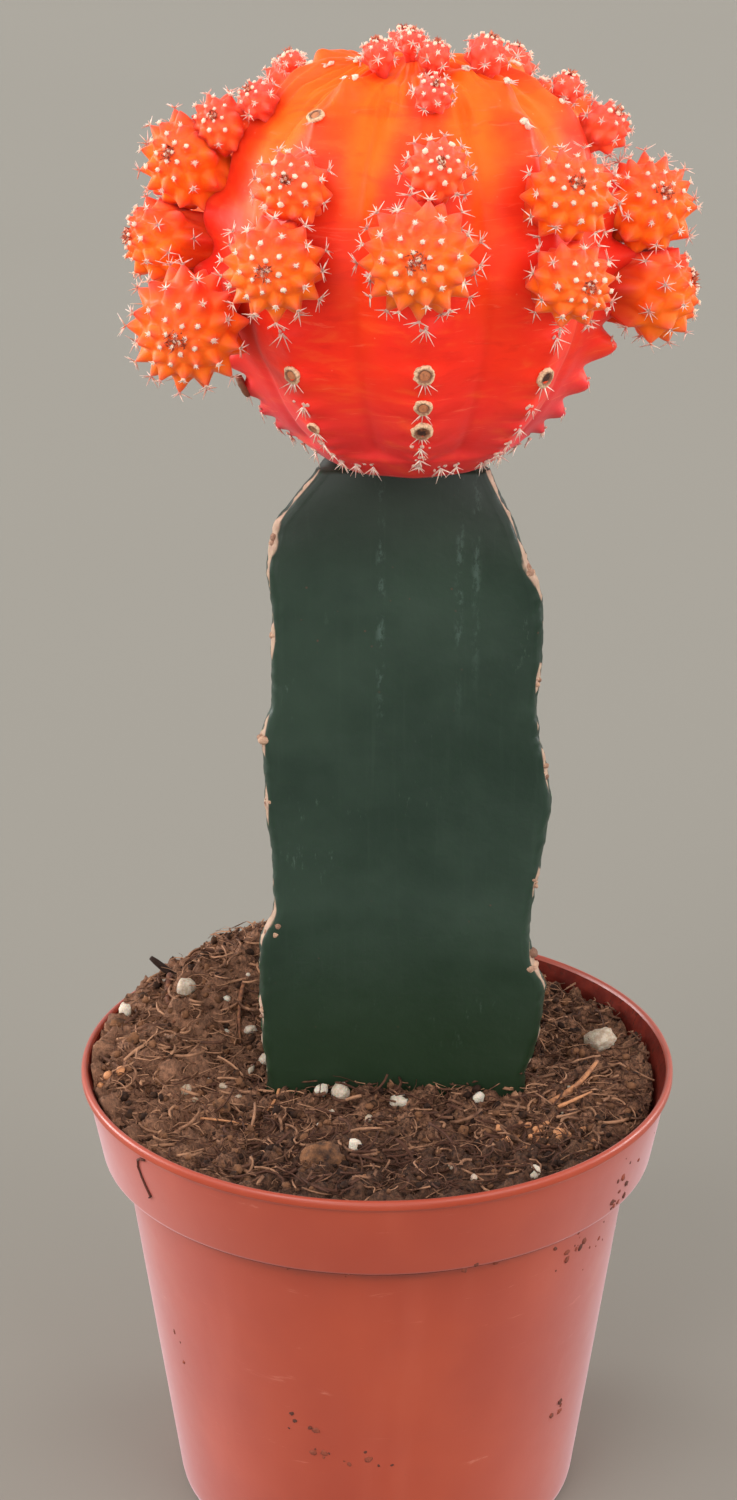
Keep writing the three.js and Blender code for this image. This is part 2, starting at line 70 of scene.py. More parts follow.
def set_camera():
    """The camera of the portrait: a little above the plant, looking down at its front."""
    camera = add_object("portrait_camera", bpy.data.cameras.new("portrait_camera"))
    camera.data.sensor_width = 36
    camera.data.lens = CAMERA_LENS
    camera.location = CAMERA_PLACE
    camera.rotation_euler = (math.radians(90 - LOOK_DOWN), 0, math.radians(LOOK_LEFT))
    SCENE.camera = camera


set_camera()


# Numbers and directions


def ease(value, low, high):
    """Smooth step, from 0 at low to 1 at high. High may be the smaller one."""
    share = np.clip((np.asarray(value, float) - low) / (high - low), 0, 1)
    return share * share * (3 - 2 * share)


def lerp(low, high, share):
    return low + (high - low) * share


def bell(value, width):
    """Bell curve, 1 at zero."""
    return np.exp(-((value / width) ** 2))


def read_off(table, value, column=1):
    """A column of a table, where its first column has a value. The first column rises."""
    table = np.array(table, float)
    return np.interp(value, table[:, 0], table[:, column])


def direction(bearing, latitude):
    """Unit vector of a bearing and a latitude, in degrees."""
    turn, rise = math.radians(bearing), math.radians(latitude)
    flat = math.cos(rise)
    return Vector((flat * math.sin(turn), -flat * math.cos(turn), math.sin(rise)))


def aimed(place, way, spin=0.0):
    """Matrix that moves the origin to a place and turns +Z to a direction."""
    turn = UP.rotation_difference(way).to_matrix().to_4x4()
    return Matrix.Translation(place) @ turn @ Matrix.Rotation(spin, 4, "Z")


def across(way, angle):
    """Unit vector square to a direction, at an angle round it."""
    side = way.cross(UP)
    if side.length < 0.01:
        side = way.cross(Vector((0, 1, 0)))
    return Matrix.Rotation(angle, 3, way) @ side.normalized()


def rough(points, size, seed, octaves=3):
    """Noise from about -1 to 1 at each point, with lumps of a size in millimetres."""
    shift = Vector((seed * 17.3, seed * 5.1, -seed * 9.7))
    return np.array([noise.fractal(Vector(p) / size + shift, 0.6, 2.1, octaves) for p in points])


# Pieces

ROD_SIDES = 7


def places(bm):
    return np.array([vert.co for vert in bm.verts])


def move_to(bm, points):
    for vert, point in zip(bm.verts, points):
        vert.co = point


def mark(bm, name, values):
    """Keeps a number for each vertex, for the finish to read."""
    layer = bm.verts.layers.float.get(name) or bm.verts.layers.float.new(name)
    for vert, value in zip(bm.verts, values):
        vert[layer] = value


def tinted_bmesh():
    bm = bmesh.new()
    bm.verts.layers.float.new("tint")
    return bm


def stain(bm, verts, tint):
    """Gives some vertices of a tinted bmesh their tint."""
    layer = bm.verts.layers.float["tint"]
    for vert in verts:
        vert[layer] = tint


def open_edges(bm):
    return [edge for edge in bm.edges if edge.is_boundary]


def face_outwards(bm):
    ops.recalc_face_normals(bm, faces=bm.faces)


def close(bm):
    """Fills the open ends, and turns all faces outwards."""
    ops.holes_fill(bm, edges=open_edges(bm), sides=0)
    face_outwards(bm)


def spin(bm, geom, steps, angle=math.tau):
    """Spins a line or a ring about the upright axis, and joins its ends after a full turn."""
    ops.spin(bm, geom=geom, axis=UP, angle=angle, steps=steps, use_merge=angle == math.tau)


def add_rod(bm, path, radii, tint):
    """An open rod along a path, with a radius for each point."""
    steps = len(path) - 1
    made = ops.create_grid(bm, x_segments=ROD_SIDES, y_segments=steps, size=0.5)["verts"]
    for vert in made:
        turn = (vert.co.x + 0.5) * math.tau
        step = round((vert.co.y + 0.5) * steps)
        way = (path[min(step + 1, steps)] - path[max(step - 1, 0)]).normalized()
        vert.co = path[step] + across(way, turn) * radii[step]
    stain(bm, made, tint)
    ops.remove_doubles(bm, verts=made, dist=0.0005)


def add_lump(bm, shape, radius, draw, tint, jag, subdivisions):
    """A ball whose points are moved at random, put in shape by a matrix."""
    made = ops.create_icosphere(bm, subdivisions=subdivisions, radius=radius)["verts"]
    for vert in made:
        vert.co *= 1 + draw.uniform(-jag, jag)
    ops.transform(bm, verts=made, matrix=shape)
    stain(bm, made, tint)
    return made


def add_stone(bm, place, radius, draw, tint, flat=0.75, subdivisions=2, jag=0.22):
    """A rough crumb, turned at random."""
    angle = draw.uniform(0, math.tau)
    turn = Matrix.Rotation(angle, 4, Vector((draw.random(), draw.random(), 0.3)))
    squash = Matrix.Diagonal((1, draw.uniform(0.7, 1), flat, 1))
    shape = Matrix.Translation(place) @ turn @ squash
    return add_lump(bm, shape, radius, draw, tint, jag, subdivisions)


def mesh_of(bm, name):
    mesh = bpy.data.meshes.new(name)
    bm.to_mesh(mesh)
    bm.free()
    return mesh


def merged(parts):
    """One bmesh that holds all the given ones."""
    whole = bmesh.new()
    for part in parts:
        mesh = mesh_of(part, "part")
        whole.from_mesh(mesh)
        bpy.data.meshes.remove(mesh)
    return whole


def finished(bm, name, material, nodes=()):
    """Makes an object of a bmesh in millimetres, which rides on the root and stands for nodes."""
    ops.scale(bm, vec=(MM, MM, MM), verts=bm.verts)
    piece = add_object(name, mesh_of(bm, name))
    piece.data.shade_smooth()
    piece.data.materials.append(material)
    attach(piece, "root")
    if nodes:
        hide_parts(*nodes)
    return piece


# Finishes


def tone(red, green, blue):
    """A colour given as a screen shows it, 0 to 255, in the linear values that shaders use."""
    shares = [value / 255 for value in (red, green, blue)]
    linear = [s / 12.92 if s <= 0.04045 else ((s + 0.055) / 1.055) ** 2.4 for s in shares]
    return (*linear, 1)


class Finish:
    """A material built around one Principled shader, with colours laid over a ground colour.
    Colours are given as a screen shows them."""

    def __init__(self, name, ground, **sockets):
        self.material = bpy.data.materials.new(name)
        self.material.use_nodes = True
        self.nodes = self.material.node_tree.nodes
        self.links = self.material.node_tree.links
        self.inputs = self.nodes["Principled BSDF"].inputs
        for socket, value in sockets.items():
            self.inputs[socket.replace("_", " ")].default_value = value
        self.object = self.nodes.new("ShaderNodeTexCoord").outputs["Object"]
        self.colour = ground

    def add(self, kind, output, inputs, **settings):
        """Adds a node. Its inputs are plain values or the outputs of other nodes."""
        node = self.nodes.new("ShaderNode" + kind)
        for name, value in settings.items():
            setattr(node, name, value)
        for socket, value in inputs.items():
            if isinstance(value, bpy.types.NodeSocket):
                self.links.new(value, node.inputs[socket])
            else:
                node.inputs[socket].default_value = value
        return node.outputs[output]

    def mark(self, name):
        return self.add("Attribute", "Fac", {}, attribute_name=name)

    def place(self, axis):
        """Place along an axis, in metres."""
        return self.add("SeparateXYZ", axis, {"Vector": self.object})

    def stretched(self, *scale):
        """Object coordinates, scaled along each axis."""
        return self.add("Mapping", "Vector", {"Vector": self.object, "Scale": scale})

    def clouds(self, size, detail=3.0, roughness=0.55, vector=None, warp=0.0):
        """Noise with lumps of a size in millimetres."""
        inputs = {"Vector": vector or self.object, "Scale": 1 / (size * MM), "Detail": detail}
        return self.add("TexNoise", "Fac", {**inputs, "Roughness": roughness, "Distortion": warp})

    def cells(self, size):
        """Distance to the nearest of scattered points, a size in millimetres apart."""
        inputs = {"Vector": self.object, "Scale": 1 / (size * MM)}
        return self.add("TexVoronoi", "Distance", inputs)

    def between(self, value, low, high, to_low=0.0, to_high=1.0):
        """Maps a value's range smoothly to another."""
        ends = {"From Min": low, "From Max": high, "To Min": to_low, "To Max": to_high}
        curve = "SMOOTHSTEP"
        return self.add("MapRange", "Result", {"Value": value, **ends}, interpolation_type=curve)

    def maths(self, kind, *values):
        return self.add("Math", "Value", dict(enumerate(values)), operation=kind)

    def times(self, first, second):
        return self.maths("MULTIPLY", first, second)

    def blend(self, share, *colours):
        """Mixes two colours by a share."""
        first, second = (tone(*c) if isinstance(c, tuple) else c for c in colours)
        return self.add("Mix", 2, {"Factor": share, 6: first, 7: second}, data_type="RGBA")

    def paint(self, share, colour):
        """Lays a colour over the earlier ones, by a share."""
        self.colour = self.blend(share, self.colour, colour)
        self.links.new(self.colour, self.inputs["Base Color"])

    def wash(self, value, low, high, strength, colour):
        """Lays a colour over, from nothing where a value is low up to a strength where high."""
        self.paint(self.between(value, low, high, 0, strength), colour)

    def roughness(self, *spread):
        self.links.new(self.between(*spread), self.inputs["Roughness"])

    def relief(self, height, depth, strength=1.0):
        """Bump of a depth in millimetres, on top of earlier ones."""
        inputs = {"Height": height, "Distance": depth * MM, "Strength": strength}
        for link in self.inputs["Normal"].links:
            inputs["Normal"] = link.from_socket
        self.links.new(self.add("Bump", "Normal", inputs), self.inputs["Normal"])


def flesh_finish(name, deep, middle, bright, blush_and_sheen, sheen, scratches):
    """Waxy, glowing flesh. Marks: glow from deep red to bright orange, a pink that is partly
    painted sheen, and painted shade in the folds and between the parts."""
    finish = Finish(
        name, deep, Subsurface_Weight=0.35, Subsurface_Scale=0.004,
        Subsurface_Radius=(1.0, 0.3, 0.08), Specular_IOR_Level=0.17, Sheen_Weight=sheen,
        Sheen_Roughness=0.35, Sheen_Tint=tone(255, 196, 196), Coat_Weight=0.02,
        Coat_Roughness=0.35,
    )
    mottle = finish.maths("MULTIPLY_ADD", finish.clouds(6, 4), 0.5, -0.25)
    glow = finish.maths("ADD", finish.mark("glow"), mottle)
    finish.wash(glow, 0.0, 0.5, 1, middle)
    finish.wash(glow, 0.45, 1.0, 1, bright)
    # Pink, which is partly painted sheen.
    finish.paint(finish.mark("blush_and_sheen"), blush_and_sheen)
    streak = finish.clouds(3.2, 4, 0.6, finish.stretched(0.45, 0.45, 1.6), 0.6)
    finish.wash(streak, 0.5, 0.72, 0.28, (255, 112, 44))
    finish.wash(streak, 0.48, 0.3, 0.3, (214, 28, 18))
    freckles = finish.between(finish.cells(1.6), 0.10, 0.03, 0, 0.35)
    patches = finish.between(finish.clouds(7), 0.5, 0.62)
    finish.paint(finish.times(freckles, patches), (255, 190, 150))
    scratch = finish.clouds(2.2, 4, 0.6, finish.stretched(0.4, 0.4, 3), 0.8)
    finish.wash(scratch, 0.6, 0.7, scratches, (255, 122, 84))
    # Painted shade, deep crimson, in the folds and between the parts.
    finish.paint(finish.times(finish.mark("crease_shade"), 0.75), (184, 18, 12))
    finish.roughness(finish.clouds(2.5, 4), 0.3, 0.7, 0.42, 0.56)
    finish.relief(finish.clouds(0.9, 3), 0.05, 0.6)
    finish.relief(finish.clouds(3.5, 2), 0.15, 0.5)
    return finish.material


def plain_finish(name, low, high, size, rough_low, rough_high, depth, **sockets):
    """Two tones mixed by noise and by the mark called tint, with a fine rough relief."""
    finish = Finish(name, low, **sockets)
    mottle = finish.clouds(size, 4)
    speckle = finish.between(mottle, 0.3, 0.7, -0.2, 0.2)
    finish.wash(finish.maths("ADD", finish.mark("tint"), speckle), 0, 1, 1, high)
    finish.roughness(mottle, 0.3, 0.7, rough_low, rough_high)
    finish.relief(finish.clouds(size / 3, 3), depth)
    return finish.material


# Pot

POT_STEPS = 192
# Section of the pot, radius and height: up its inner face, over the lip, down the wall, and in
# under the foot.
POT_INSIDE = [
    (0, 2.6), (10, 2.6), (26.2, 2.6), (27.4, 3.0), (28.1, 4.4), (36.0, 54.7), (36.4, 55.6),
    (38.2, 56.1), (38.6, 56.8), (40.9, 65.6), (41.5, 66.9),
]
POT_LIP = [
    (41.66, 67.24), (41.86, 67.42), (42.08, 67.45), (42.34, 67.28), (42.47, 66.95),
    (42.48, 66.3), (42.4, 66.12), (41.95, 65.95), (41.82, 65.75),
]
POT_WALL = [
    (41.75, 65.3), (39.85, 55.3), (39.75, 54.95), (39.55, 54.75), (38.6, 54.45), (37.6, 54.2),
    (37.15, 53.8), (36.6, 53.2), (36.49, 52.4), (36.3, 51.0), (29.8, 3.0), (29.6, 1.5),
    (29.4, 0.6), (29.0, 0.15),
]
POT_FOOT = [(28.5, 0), (26.4, 0), (25.9, 0.3), (25.6, 1.0), (25.0, 1.2), (10, 1.2), (0, 1.2)]
# Middle of the thickness of the wall: height and radius.
WALL_MIDDLE = [(2, 28.3), (54, 36.5), (57, 39.2), (66.9, 41.55)]
COLLAR_UNDERSIDE = 54.9
NECK_RADIUS = 37.2
LIP_UNDERSIDE = 66
SHARP_ANGLE = 48
DRAINS = 6
DRAIN_RADIUS = 3
DRAIN_RING = 19


def make_pot():
    """The turned shell: clean plastic outside, and plastic with painted shade inside and under the
    collar.
    """
    bm = bmesh.new()
    section = POT_INSIDE + POT_LIP + POT_WALL + POT_FOOT
    verts = [bm.verts.new((radius, 0, height)) for radius, height in section]
    for pair in zip(verts, verts[1:]):
        bm.edges.new(pair)
    spin(bm, bm.verts[:] + bm.edges[:], POT_STEPS)
    ops.remove_doubles(bm, verts=bm.verts, dist=0.001)
    face_outwards(bm)
    for face in bm.faces:
        middle = face.calc_center_median()
        radius = middle.xy.length
        inside = middle.z > 2 and radius < read_off(WALL_MIDDLE, middle.z)
        below_collar = radius > NECK_RADIUS and middle.z < COLLAR_UNDERSIDE
        clean = 2 if middle.z > LIP_UNDERSIDE else 0
        # Faces inside the wall and under the collar take the plastic with painted shade.
        face.material_index = 1 if inside or below_collar else clean
    shell = pot_plastic("terracotta_plastic", 0.9, 0.35)
    pot = finished(bm, "pot_shell", shell, ["pot"])
    pot.data.materials.append(shaded_plastic())
    pot.data.materials.append(pot_plastic("lip_plastic", 0.1, 0.1))
    pot.data.set_sharp_from_angle(angle=math.radians(SHARP_ANGLE))
    drill_drains(pot)


def drill_drains(pot):
    bm = bmesh.new()
    for hole in range(DRAINS):
        turn = (hole + 0.5) / DRAINS * math.tau
        place = Vector((DRAIN_RING * math.sin(turn), DRAIN_RING * math.cos(turn), 2))
        radius = DRAIN_RADIUS * MM
        ops.create_cone(
            bm, cap_ends=True, segments=32, radius1=radius, radius2=radius, depth=6 * MM,
            matrix=Matrix.Translation(place * MM),
        )
    drill = add_object("drill", mesh_of(bm, "drill"))
    cut = pot.modifiers.new("drains", "BOOLEAN")
    cut.object = drill
    cut.operation = "DIFFERENCE"
    cut.solver = "EXACT"
    bpy.context.view_layer.update()
    drilled = pot.evaluated_get(bpy.context.evaluated_depsgraph_get())
    mesh = bpy.data.meshes.new_from_object(drilled)
    pot.modifiers.clear()
    pot.data = mesh
    bpy.data.objects.remove(drill)


# Crumbs of peat stuck on the wall: bearing, height, how many, and how far they spread.
WALL_DIRT = [
    (62, 60.5, 8, 4), (56, 56, 9, 3.5), (50, 50.5, 12, 4), (60, 47, 6, 3), (-22, 53.4, 7, 2.5),
    (-38, 53.6, 5, 2), (20, 53.5, 7, 4), (-2, 53.4, 3, 4), (-18, 25, 6, 3), (-14, 21, 5, 2),
    (-2, 20, 6, 3), (55, 20, 4, 3), (-60, 30, 3, 5), (120, 52, 9, 8), (190, 53.4, 9, 9),
    (170, 30, 5, 8), (250, 50, 7, 9),
]
# A root hair that hangs over the collar: bearing and height along it, and its thickness.
ROOT_HAIR = [
    (-49, 65.4), (-50.4, 65.2), (-51.6, 64.6), (-52, 63.4), (-51.4, 61.8), (-50.5, 60.3),
    (-49.6, 59.2), (-50.4, 58.7),
]
HAIR_RADII = [0.2, 0.2, 0.18, 0.17, 0.16, 0.17, 0.2, 0.12]


def wall_place(bearing, height, proud=0.0):
    """Place on the outer wall, or a little proud of it."""
    wall = np.array(POT_WALL)[::-1]
    reach = np.interp(height, wall[:, 1], wall[:, 0]) + proud
    return direction(bearing, 0) * float(reach) + UP * height


def make_wall_dirt():
    """Peat crumbs on the outside of the pot, and a root hair over its collar."""
    draw = random.Random(19)
    bm = tinted_bmesh()
    for bearing, height, number, spread in WALL_DIRT:
        for _ in range(number):
            place = bearing + draw.gauss(0, spread), height + draw.gauss(0, 0.35 * spread)
            spot = wall_place(*place)
            size = draw.choice([0.11, 0.15, 0.21, 0.3, 0.46])
            tint = draw.random()
            made = ops.create_icosphere(bm, subdivisions=2, radius=size)["verts"]
            for vert in made:
                vert.co *= 1 + draw.uniform(-0.25, 0.25)
                vert.co = (1.3 * vert.co.x, vert.co.y, 0.3 * vert.co.z)
            out = direction(place[0], 0)
            ops.transform(bm, verts=made, matrix=aimed(spot, out, draw.uniform(0, 6)))
            stain(bm, made, tint)
    add_rod(bm, [wall_place(*place, 0.1) for place in ROOT_HAIR], HAIR_RADII, 0.2)
    close(bm)
    finish = plain_finish("wall_dirt", (76, 38, 28), (134, 62, 42), 0.5, 0.8, 1.0, 0.1)
    finished(bm, "pot_wall_dirt", finish)


def pot_plastic(name, sheen, coat):
    """Moulded plastic with faint streaks, scuffs, dust, and painted shade with dirt under the
    collar.
    """
    finish = Finish(
        name, (157, 57, 33), Specular_IOR_Level=0.5, Coat_Weight=coat, Coat_Roughness=0.3,
        Sheen_Weight=sheen, Sheen_Roughness=0.36, Sheen_Tint=tone(255, 226, 236),
        Subsurface_Weight=0.06, Subsurface_Scale=0.002,
    )
    cloud = finish.clouds(22, 3)
    finish.wash(cloud, 0.3, 0.7, 1, (167, 65, 37))
    streak = finish.clouds(9, 4, vector=finish.stretched(1, 1, 0.12))
    finish.wash(streak, 0.52, 0.8, 0.12, (198, 104, 82))
    scuff = finish.clouds(3.5, 5, 0.7, finish.stretched(0.3, 0.3, 2.2), 0.6)
    finish.wash(scuff, 0.64, 0.72, 0.3, (214, 138, 116))
    dust = finish.between(finish.clouds(1.1, 4, 0.7), 0.66, 0.74, 0, 0.35)
    patches = finish.between(finish.clouds(14, 2), 0.5, 0.65)
    finish.paint(finish.times(dust, patches), (112, 62, 44))
    height = finish.place("Z")
    # Painted shade with dirt, in a band under the collar.
    under_collar = finish.times(
        finish.between(height, 0.0515, 0.0532), finish.between(height, 0.0553, 0.0545)
    )
    shade_and_dirt_share = finish.between(finish.clouds(5, 4), 0.35, 0.65, 0.25, 0.7)
    finish.paint(finish.times(under_collar, shade_and_dirt_share), (112, 44, 32))
    finish.wash(height, 0.0662, 0.0672, 0.6, (158, 58, 34))
    finish.roughness(finish.clouds(5, 4), 0.3, 0.7, 0.34, 0.46)
    finish.relief(finish.clouds(0.6, 2), 0.01, 0.5)
    finish.relief(cloud, 0.25, 0.4)
    return finish.material


def shaded_plastic():
    """The inner wall and the underside of the collar: painted shade, with dark crumbs of mix."""
    finish = Finish("shaded_plastic", (90, 29, 21), Specular_IOR_Level=0.08)
    finish.wash(finish.clouds(4, 4), 0.3, 0.7, 1, (120, 42, 30))
    finish.wash(finish.clouds(0.9, 4, 0.7), 0.55, 0.66, 0.7, (66, 34, 26))
    finish.roughness(finish.clouds(1.5, 3), 0.3, 0.7, 0.75, 0.95)
    finish.relief(finish.clouds(0.8, 3), 0.08, 0.6)
    return finish.material


# Potting mix

SOIL_LEVEL = 64.2
SOIL_EDGE = 39.7
SOIL_CELLS = 200
# The bank at the back left, and how far it falls off on each side.
BANK_BEARING = 222
BANK_REACH = 32
BANK_HEIGHT = 7.8
# Mounds: x, y, height and the square of their spread.
MOUNDS = [(-30.8, -1, 1.6, 9), (-16, 28, 3.2, 60)]
# How the soil goes down along the inner wall: radius and height.
SOIL_SKIRT = [(38.2, 57.2), (35.7, 55.9), (27.6, 4.2), (26.3, 2.9)]
# The larger perlite grains: x, y and radius.
PERLITE = [
    (-28.3, 15.3, 1.5), (-37.2, 11.2, 1.0), (-18.6, 10.4, 0.9), (-16, 2.5, 1.1),
    (-5.2, -7.4, 1.5), (-8, -6.9, 1.1), (3.1, -8.6, 1.2), (32.8, 8, 2.2), (21.2, -32, 0.9),
    (-27.3, -7.2, 0.9), (-3, -24.2, 1.0), (14.4, -8.4, 0.8), (16, 27, 1.5), (-4, 32, 1.7),
]
PERLITE_GRAINS = 52
LARGE_GRAIN = 1.2
# Lumps of bark: x, y and radius.
BARK = [
    (-7.3, -28, 2.7), (-35.5, 2, 1.1), (12, -17.5, 1.1), (-22, -12, 1.3), (27, -14, 1.2),
    (-12, 26, 1.8), (-38, 8.5, 1.4),
]


def soil_rise(x, y):
    """Height of the soil without its crumbs."""
    bearing = np.degrees(np.arctan2(x, -y)) % 360
    reach = np.hypot(x, y)
    along = bell(bearing - BANK_BEARING, np.where(bearing > BANK_BEARING, 42, 34))
    rise = BANK_HEIGHT * along * bell(reach - BANK_REACH, np.where(reach > BANK_REACH, 14, 9))
    rise = rise + 2 * ease(y, -16, -38) + 0.5 * ease(x, 4, 26) * ease(y, -12, 4)
    rise = rise + 1.5 * ease(x, -26, -37) * ease(y, 14, 2)
    for middle_x, middle_y, height, square in MOUNDS:
        away = (x - middle_x) ** 2 + (y - middle_y) ** 2
        rise = rise + height * np.exp(-away / square)
    waves = np.sin(0.7 * x + 0.3 * y) * np.cos(0.6 * y - 0.2 * x) + np.sin(1.3 * x - y)
    return SOIL_LEVEL + rise + 0.45 * waves


def soil_height(x, y):
    """Height of the crumbly top at one place."""
    point = Vector((x, y, 0))
    clods = noise.fractal(point / 3.1, 0.7, 2.2, 3)
    crumbs = noise.fractal(point / 0.8 + Vector((9, 4, 2)), 0.8, 2.0, 2)
    return float(soil_rise(x, y)) + 1.25 * clods + 0.45 * crumbs


def on_soil(x, y, rise=0.0):
    return Vector((x, y, soil_height(x, y) + rise))


def scattered(draw, low, high):
    """A random place on the soil. Low and high are shares of its area, from its middle."""
    radius, turn = SOIL_EDGE * math.sqrt(draw.uniform(low, high)), draw.uniform(0, math.tau)
    return radius * math.sin(turn), -radius * math.cos(turn)


def painted_soil_shade(x, y):
    """Painted shade on the mix: darker in front; below zero, for a lighter mix, at the left and on
    the bank.
    """
    front = 0.5 * ease(y, -8, -30) * (1 - 0.6 * ease(x, -14, -30))
    return front - 0.35 * ease(x, -8, -30)


def make_soil():
    bm = bmesh.new()
    ops.create_grid(bm, x_segments=SOIL_CELLS, y_segments=SOIL_CELLS, size=1)
    rim = open_edges(bm)
    square = places(bm)[:, :2]
    reach = np.abs(square).max(1)
    disc = square * (reach / (np.hypot(*square.T) + 1e-9))[:, None] * SOIL_EDGE
    heaped = ease(soil_rise(*disc.T), 65.0, 66.5) * ease(reach, 0.8, 1)
    disc *= (1 + 0.035 * heaped)[:, None]
    move_to(bm, [on_soil(x, y) for x, y in disc])
    # Painted shade in front, and a lighter mix at the left.
    mark(bm, "painted_soil_shade", painted_soil_shade(*disc.T))
    for radius, height in SOIL_SKIRT:
        skirt = ops.extrude_edge_only(bm, edges=rim)["geom"]
        rim = [item for item in skirt if isinstance(item, bmesh.types.BMEdge)]
        rim = [edge for edge in rim if edge.is_boundary]
        for vert in {vert for edge in rim for vert in edge.verts}:
            vert.co = (*(vert.co.xy.normalized() * radius), height)
    ops.contextual_create(bm, geom=rim)
    face_outwards(bm)
    finished(bm, "soil_body", peat_finish(), ["soil"])


def peat_finish():
    """Crumbly peat with pale strands, with painted shade in front and a lighter mix at the left."""
    finish = Finish("peat", (34, 21, 16), Specular_IOR_Level=0.25)
    grain = finish.clouds(0.7, 5, 0.7)
    finish.wash(grain, 0.3, 0.7, 1, (166, 118, 90))
    finish.wash(finish.clouds(3.4, 4, 0.6), 0.4, 0.65, 0.6, (66, 41, 31))
    strand = finish.clouds(2.2, 4, 0.6, finish.stretched(2.6, 0.5, 1), 1.5)
    finish.wash(strand, 0.58, 0.68, 0.7, (146, 106, 78))
    # Painted shade in front, and a lighter mix at the left.
    finish.wash(finish.mark("painted_soil_shade"), 0, 0.5, 0.62, (46, 29, 22))
    finish.wash(finish.mark("painted_soil_shade"), 0, -0.35, 0.3, (168, 122, 96))
    finish.roughness(grain, 0.3, 0.7, 0.8, 1.0)
    finish.relief(grain, 0.5, 0.9)
    finish.relief(strand, 0.4, 0.7)
    return finish.material


def in_batches(batches, number, add):
    """Adds many small things to a few bmeshes, and merges them."""
    parts = []
    for _ in range(batches):
        bm = tinted_bmesh()
        for _ in range(number):
            add(bm)
        parts.append(bm)
    return merged(parts)


def make_fibres():
    """Peat fibres that lie on the soil, each a thin bent thread."""
    draw = random.Random(41)
    finish = plain_finish(
        "peat_fibre", (78, 48, 35), (172, 126, 96), 1.2, 0.7, 0.95, 0.08, Specular_IOR_Level=0.25
    )
    fibres = in_batches(150, 26, lambda bm: add_fibre(bm, draw))
    finished(fibres, "soil_fibres", finish)


def add_fibre(bm, draw):
    x, y = scattered(draw, 0.0, 0.985)
    thick = draw.choice([0.05, 0.06, 0.08, 0.1, 0.13, 0.18, 0.26])
    bend = draw.choice([1.2, 2, 3, 5, 9]) * draw.uniform(0.8, 1.2)
    sweep = min(2.8, draw.uniform(1.8, 6.5) / bend)
    thread = ops.create_circle(bm, segments=3, radius=thick, cap_ends=False)["verts"]
    ring = list({edge for vert in thread for edge in vert.link_edges})
    ops.transform(bm, verts=thread, matrix=Matrix.Translation((bend, 0, 0)) @ ON_EDGE)
    before = len(bm.verts) - len(thread)
    spin(bm, thread + ring, 4, sweep)
    bm.verts.ensure_lookup_table()
    verts = bm.verts[before:]
    ops.holes_fill(bm, edges=open_edges(bm), sides=3)
    pitch, roll = (Matrix.Rotation(draw.gauss(0, 0.24), 4, axis) for axis in "XY")
    turn = Matrix.Rotation(draw.uniform(0, math.tau), 4, "Z")
    rest = Matrix.Translation(on_soil(x, y, draw.uniform(0, 0.6)))
    lie = rest @ turn @ pitch @ roll @ Matrix.Translation((-bend, 0, 0))
    ops.transform(bm, verts=verts, matrix=lie)
    # Fibres are darker in front, with painted shade.
    stain(bm, verts, draw.random() ** 1.9 - 0.5 * float(painted_soil_shade(x, y)))
    for vert in verts:
        reach = vert.co.xy.length
        if reach > 30:
            vert.co.z = min(vert.co.z, float(soil_rise(vert.co.x, vert.co.y)) + 1.5)
        if reach > SOIL_EDGE + 0.2:
            vert.co.xy *= (SOIL_EDGE + 0.2) / reach


def make_crumbs():
    """Crumbs of peat that lie loose on the soil."""
    draw = random.Random(7)

    def add_crumb(bm):
        x, y = scattered(draw, 0, 0.98)
        size = draw.choice([0.3, 0.35, 0.45, 0.6, 0.8])
        # Crumbs are darker in front, with painted shade.
        tint = draw.random() ** 1.6 - 0.3 * float(painted_soil_shade(x, y))
        add_stone(bm, on_soil(x, y, 0.3 * size), size, draw, tint, subdivisions=1)

    finish = plain_finish(
        "peat_crumb", (44, 28, 21), (128, 88, 62), 0.9, 0.8, 1.0, 0.2, Specular_IOR_Level=0.2
    )
    finished(in_batches(50, 30, add_crumb), "soil_crumbs", finish)


def make_perlite():
    draw = random.Random(12)
    bm = tinted_bmesh()
    grains = list(PERLITE)
    while len(grains) < PERLITE_GRAINS:
        grains.append((*scattered(draw, 0.05, 0.9), draw.uniform(0.25, 0.65)))
    for x, y, radius in grains:
        radius *= 1.1
        large = radius > LARGE_GRAIN
        place = on_soil(x, y, (0.45 if large else 0.2) * radius)
        tint = draw.uniform(0.25, 0.95) if radius > 0.75 else draw.random()
        flat = draw.uniform(0.6, 0.8)
        for vert in add_stone(bm, place, radius, draw, tint, flat, 3, 0.05):
            bump = noise.fractal(vert.co / 1.1, 0.6, 2.1, 2)
            vert.co += (vert.co - place) * (0.2 if large else 0.36) * bump
    finish = plain_finish(
        "perlite", (158, 134, 110), (218, 206, 188), 0.7, 0.8, 0.95, 0.2, Subsurface_Weight=0.2,
        Subsurface_Scale=0.001,
    )
    finished(bm, "perlite_grains", finish)


# A dark broken stick that stands out of the bank: its ends, with a height above the soil, and
# its thickness.
DARK_STICK = [(-29.3, 20.5, -0.8), (-33.9, 20.3, 3.6)]
DARK_STICK_RADII = [0.75, 0.72, 0.66, 0.6, 0.55, 0.5, 0.35]


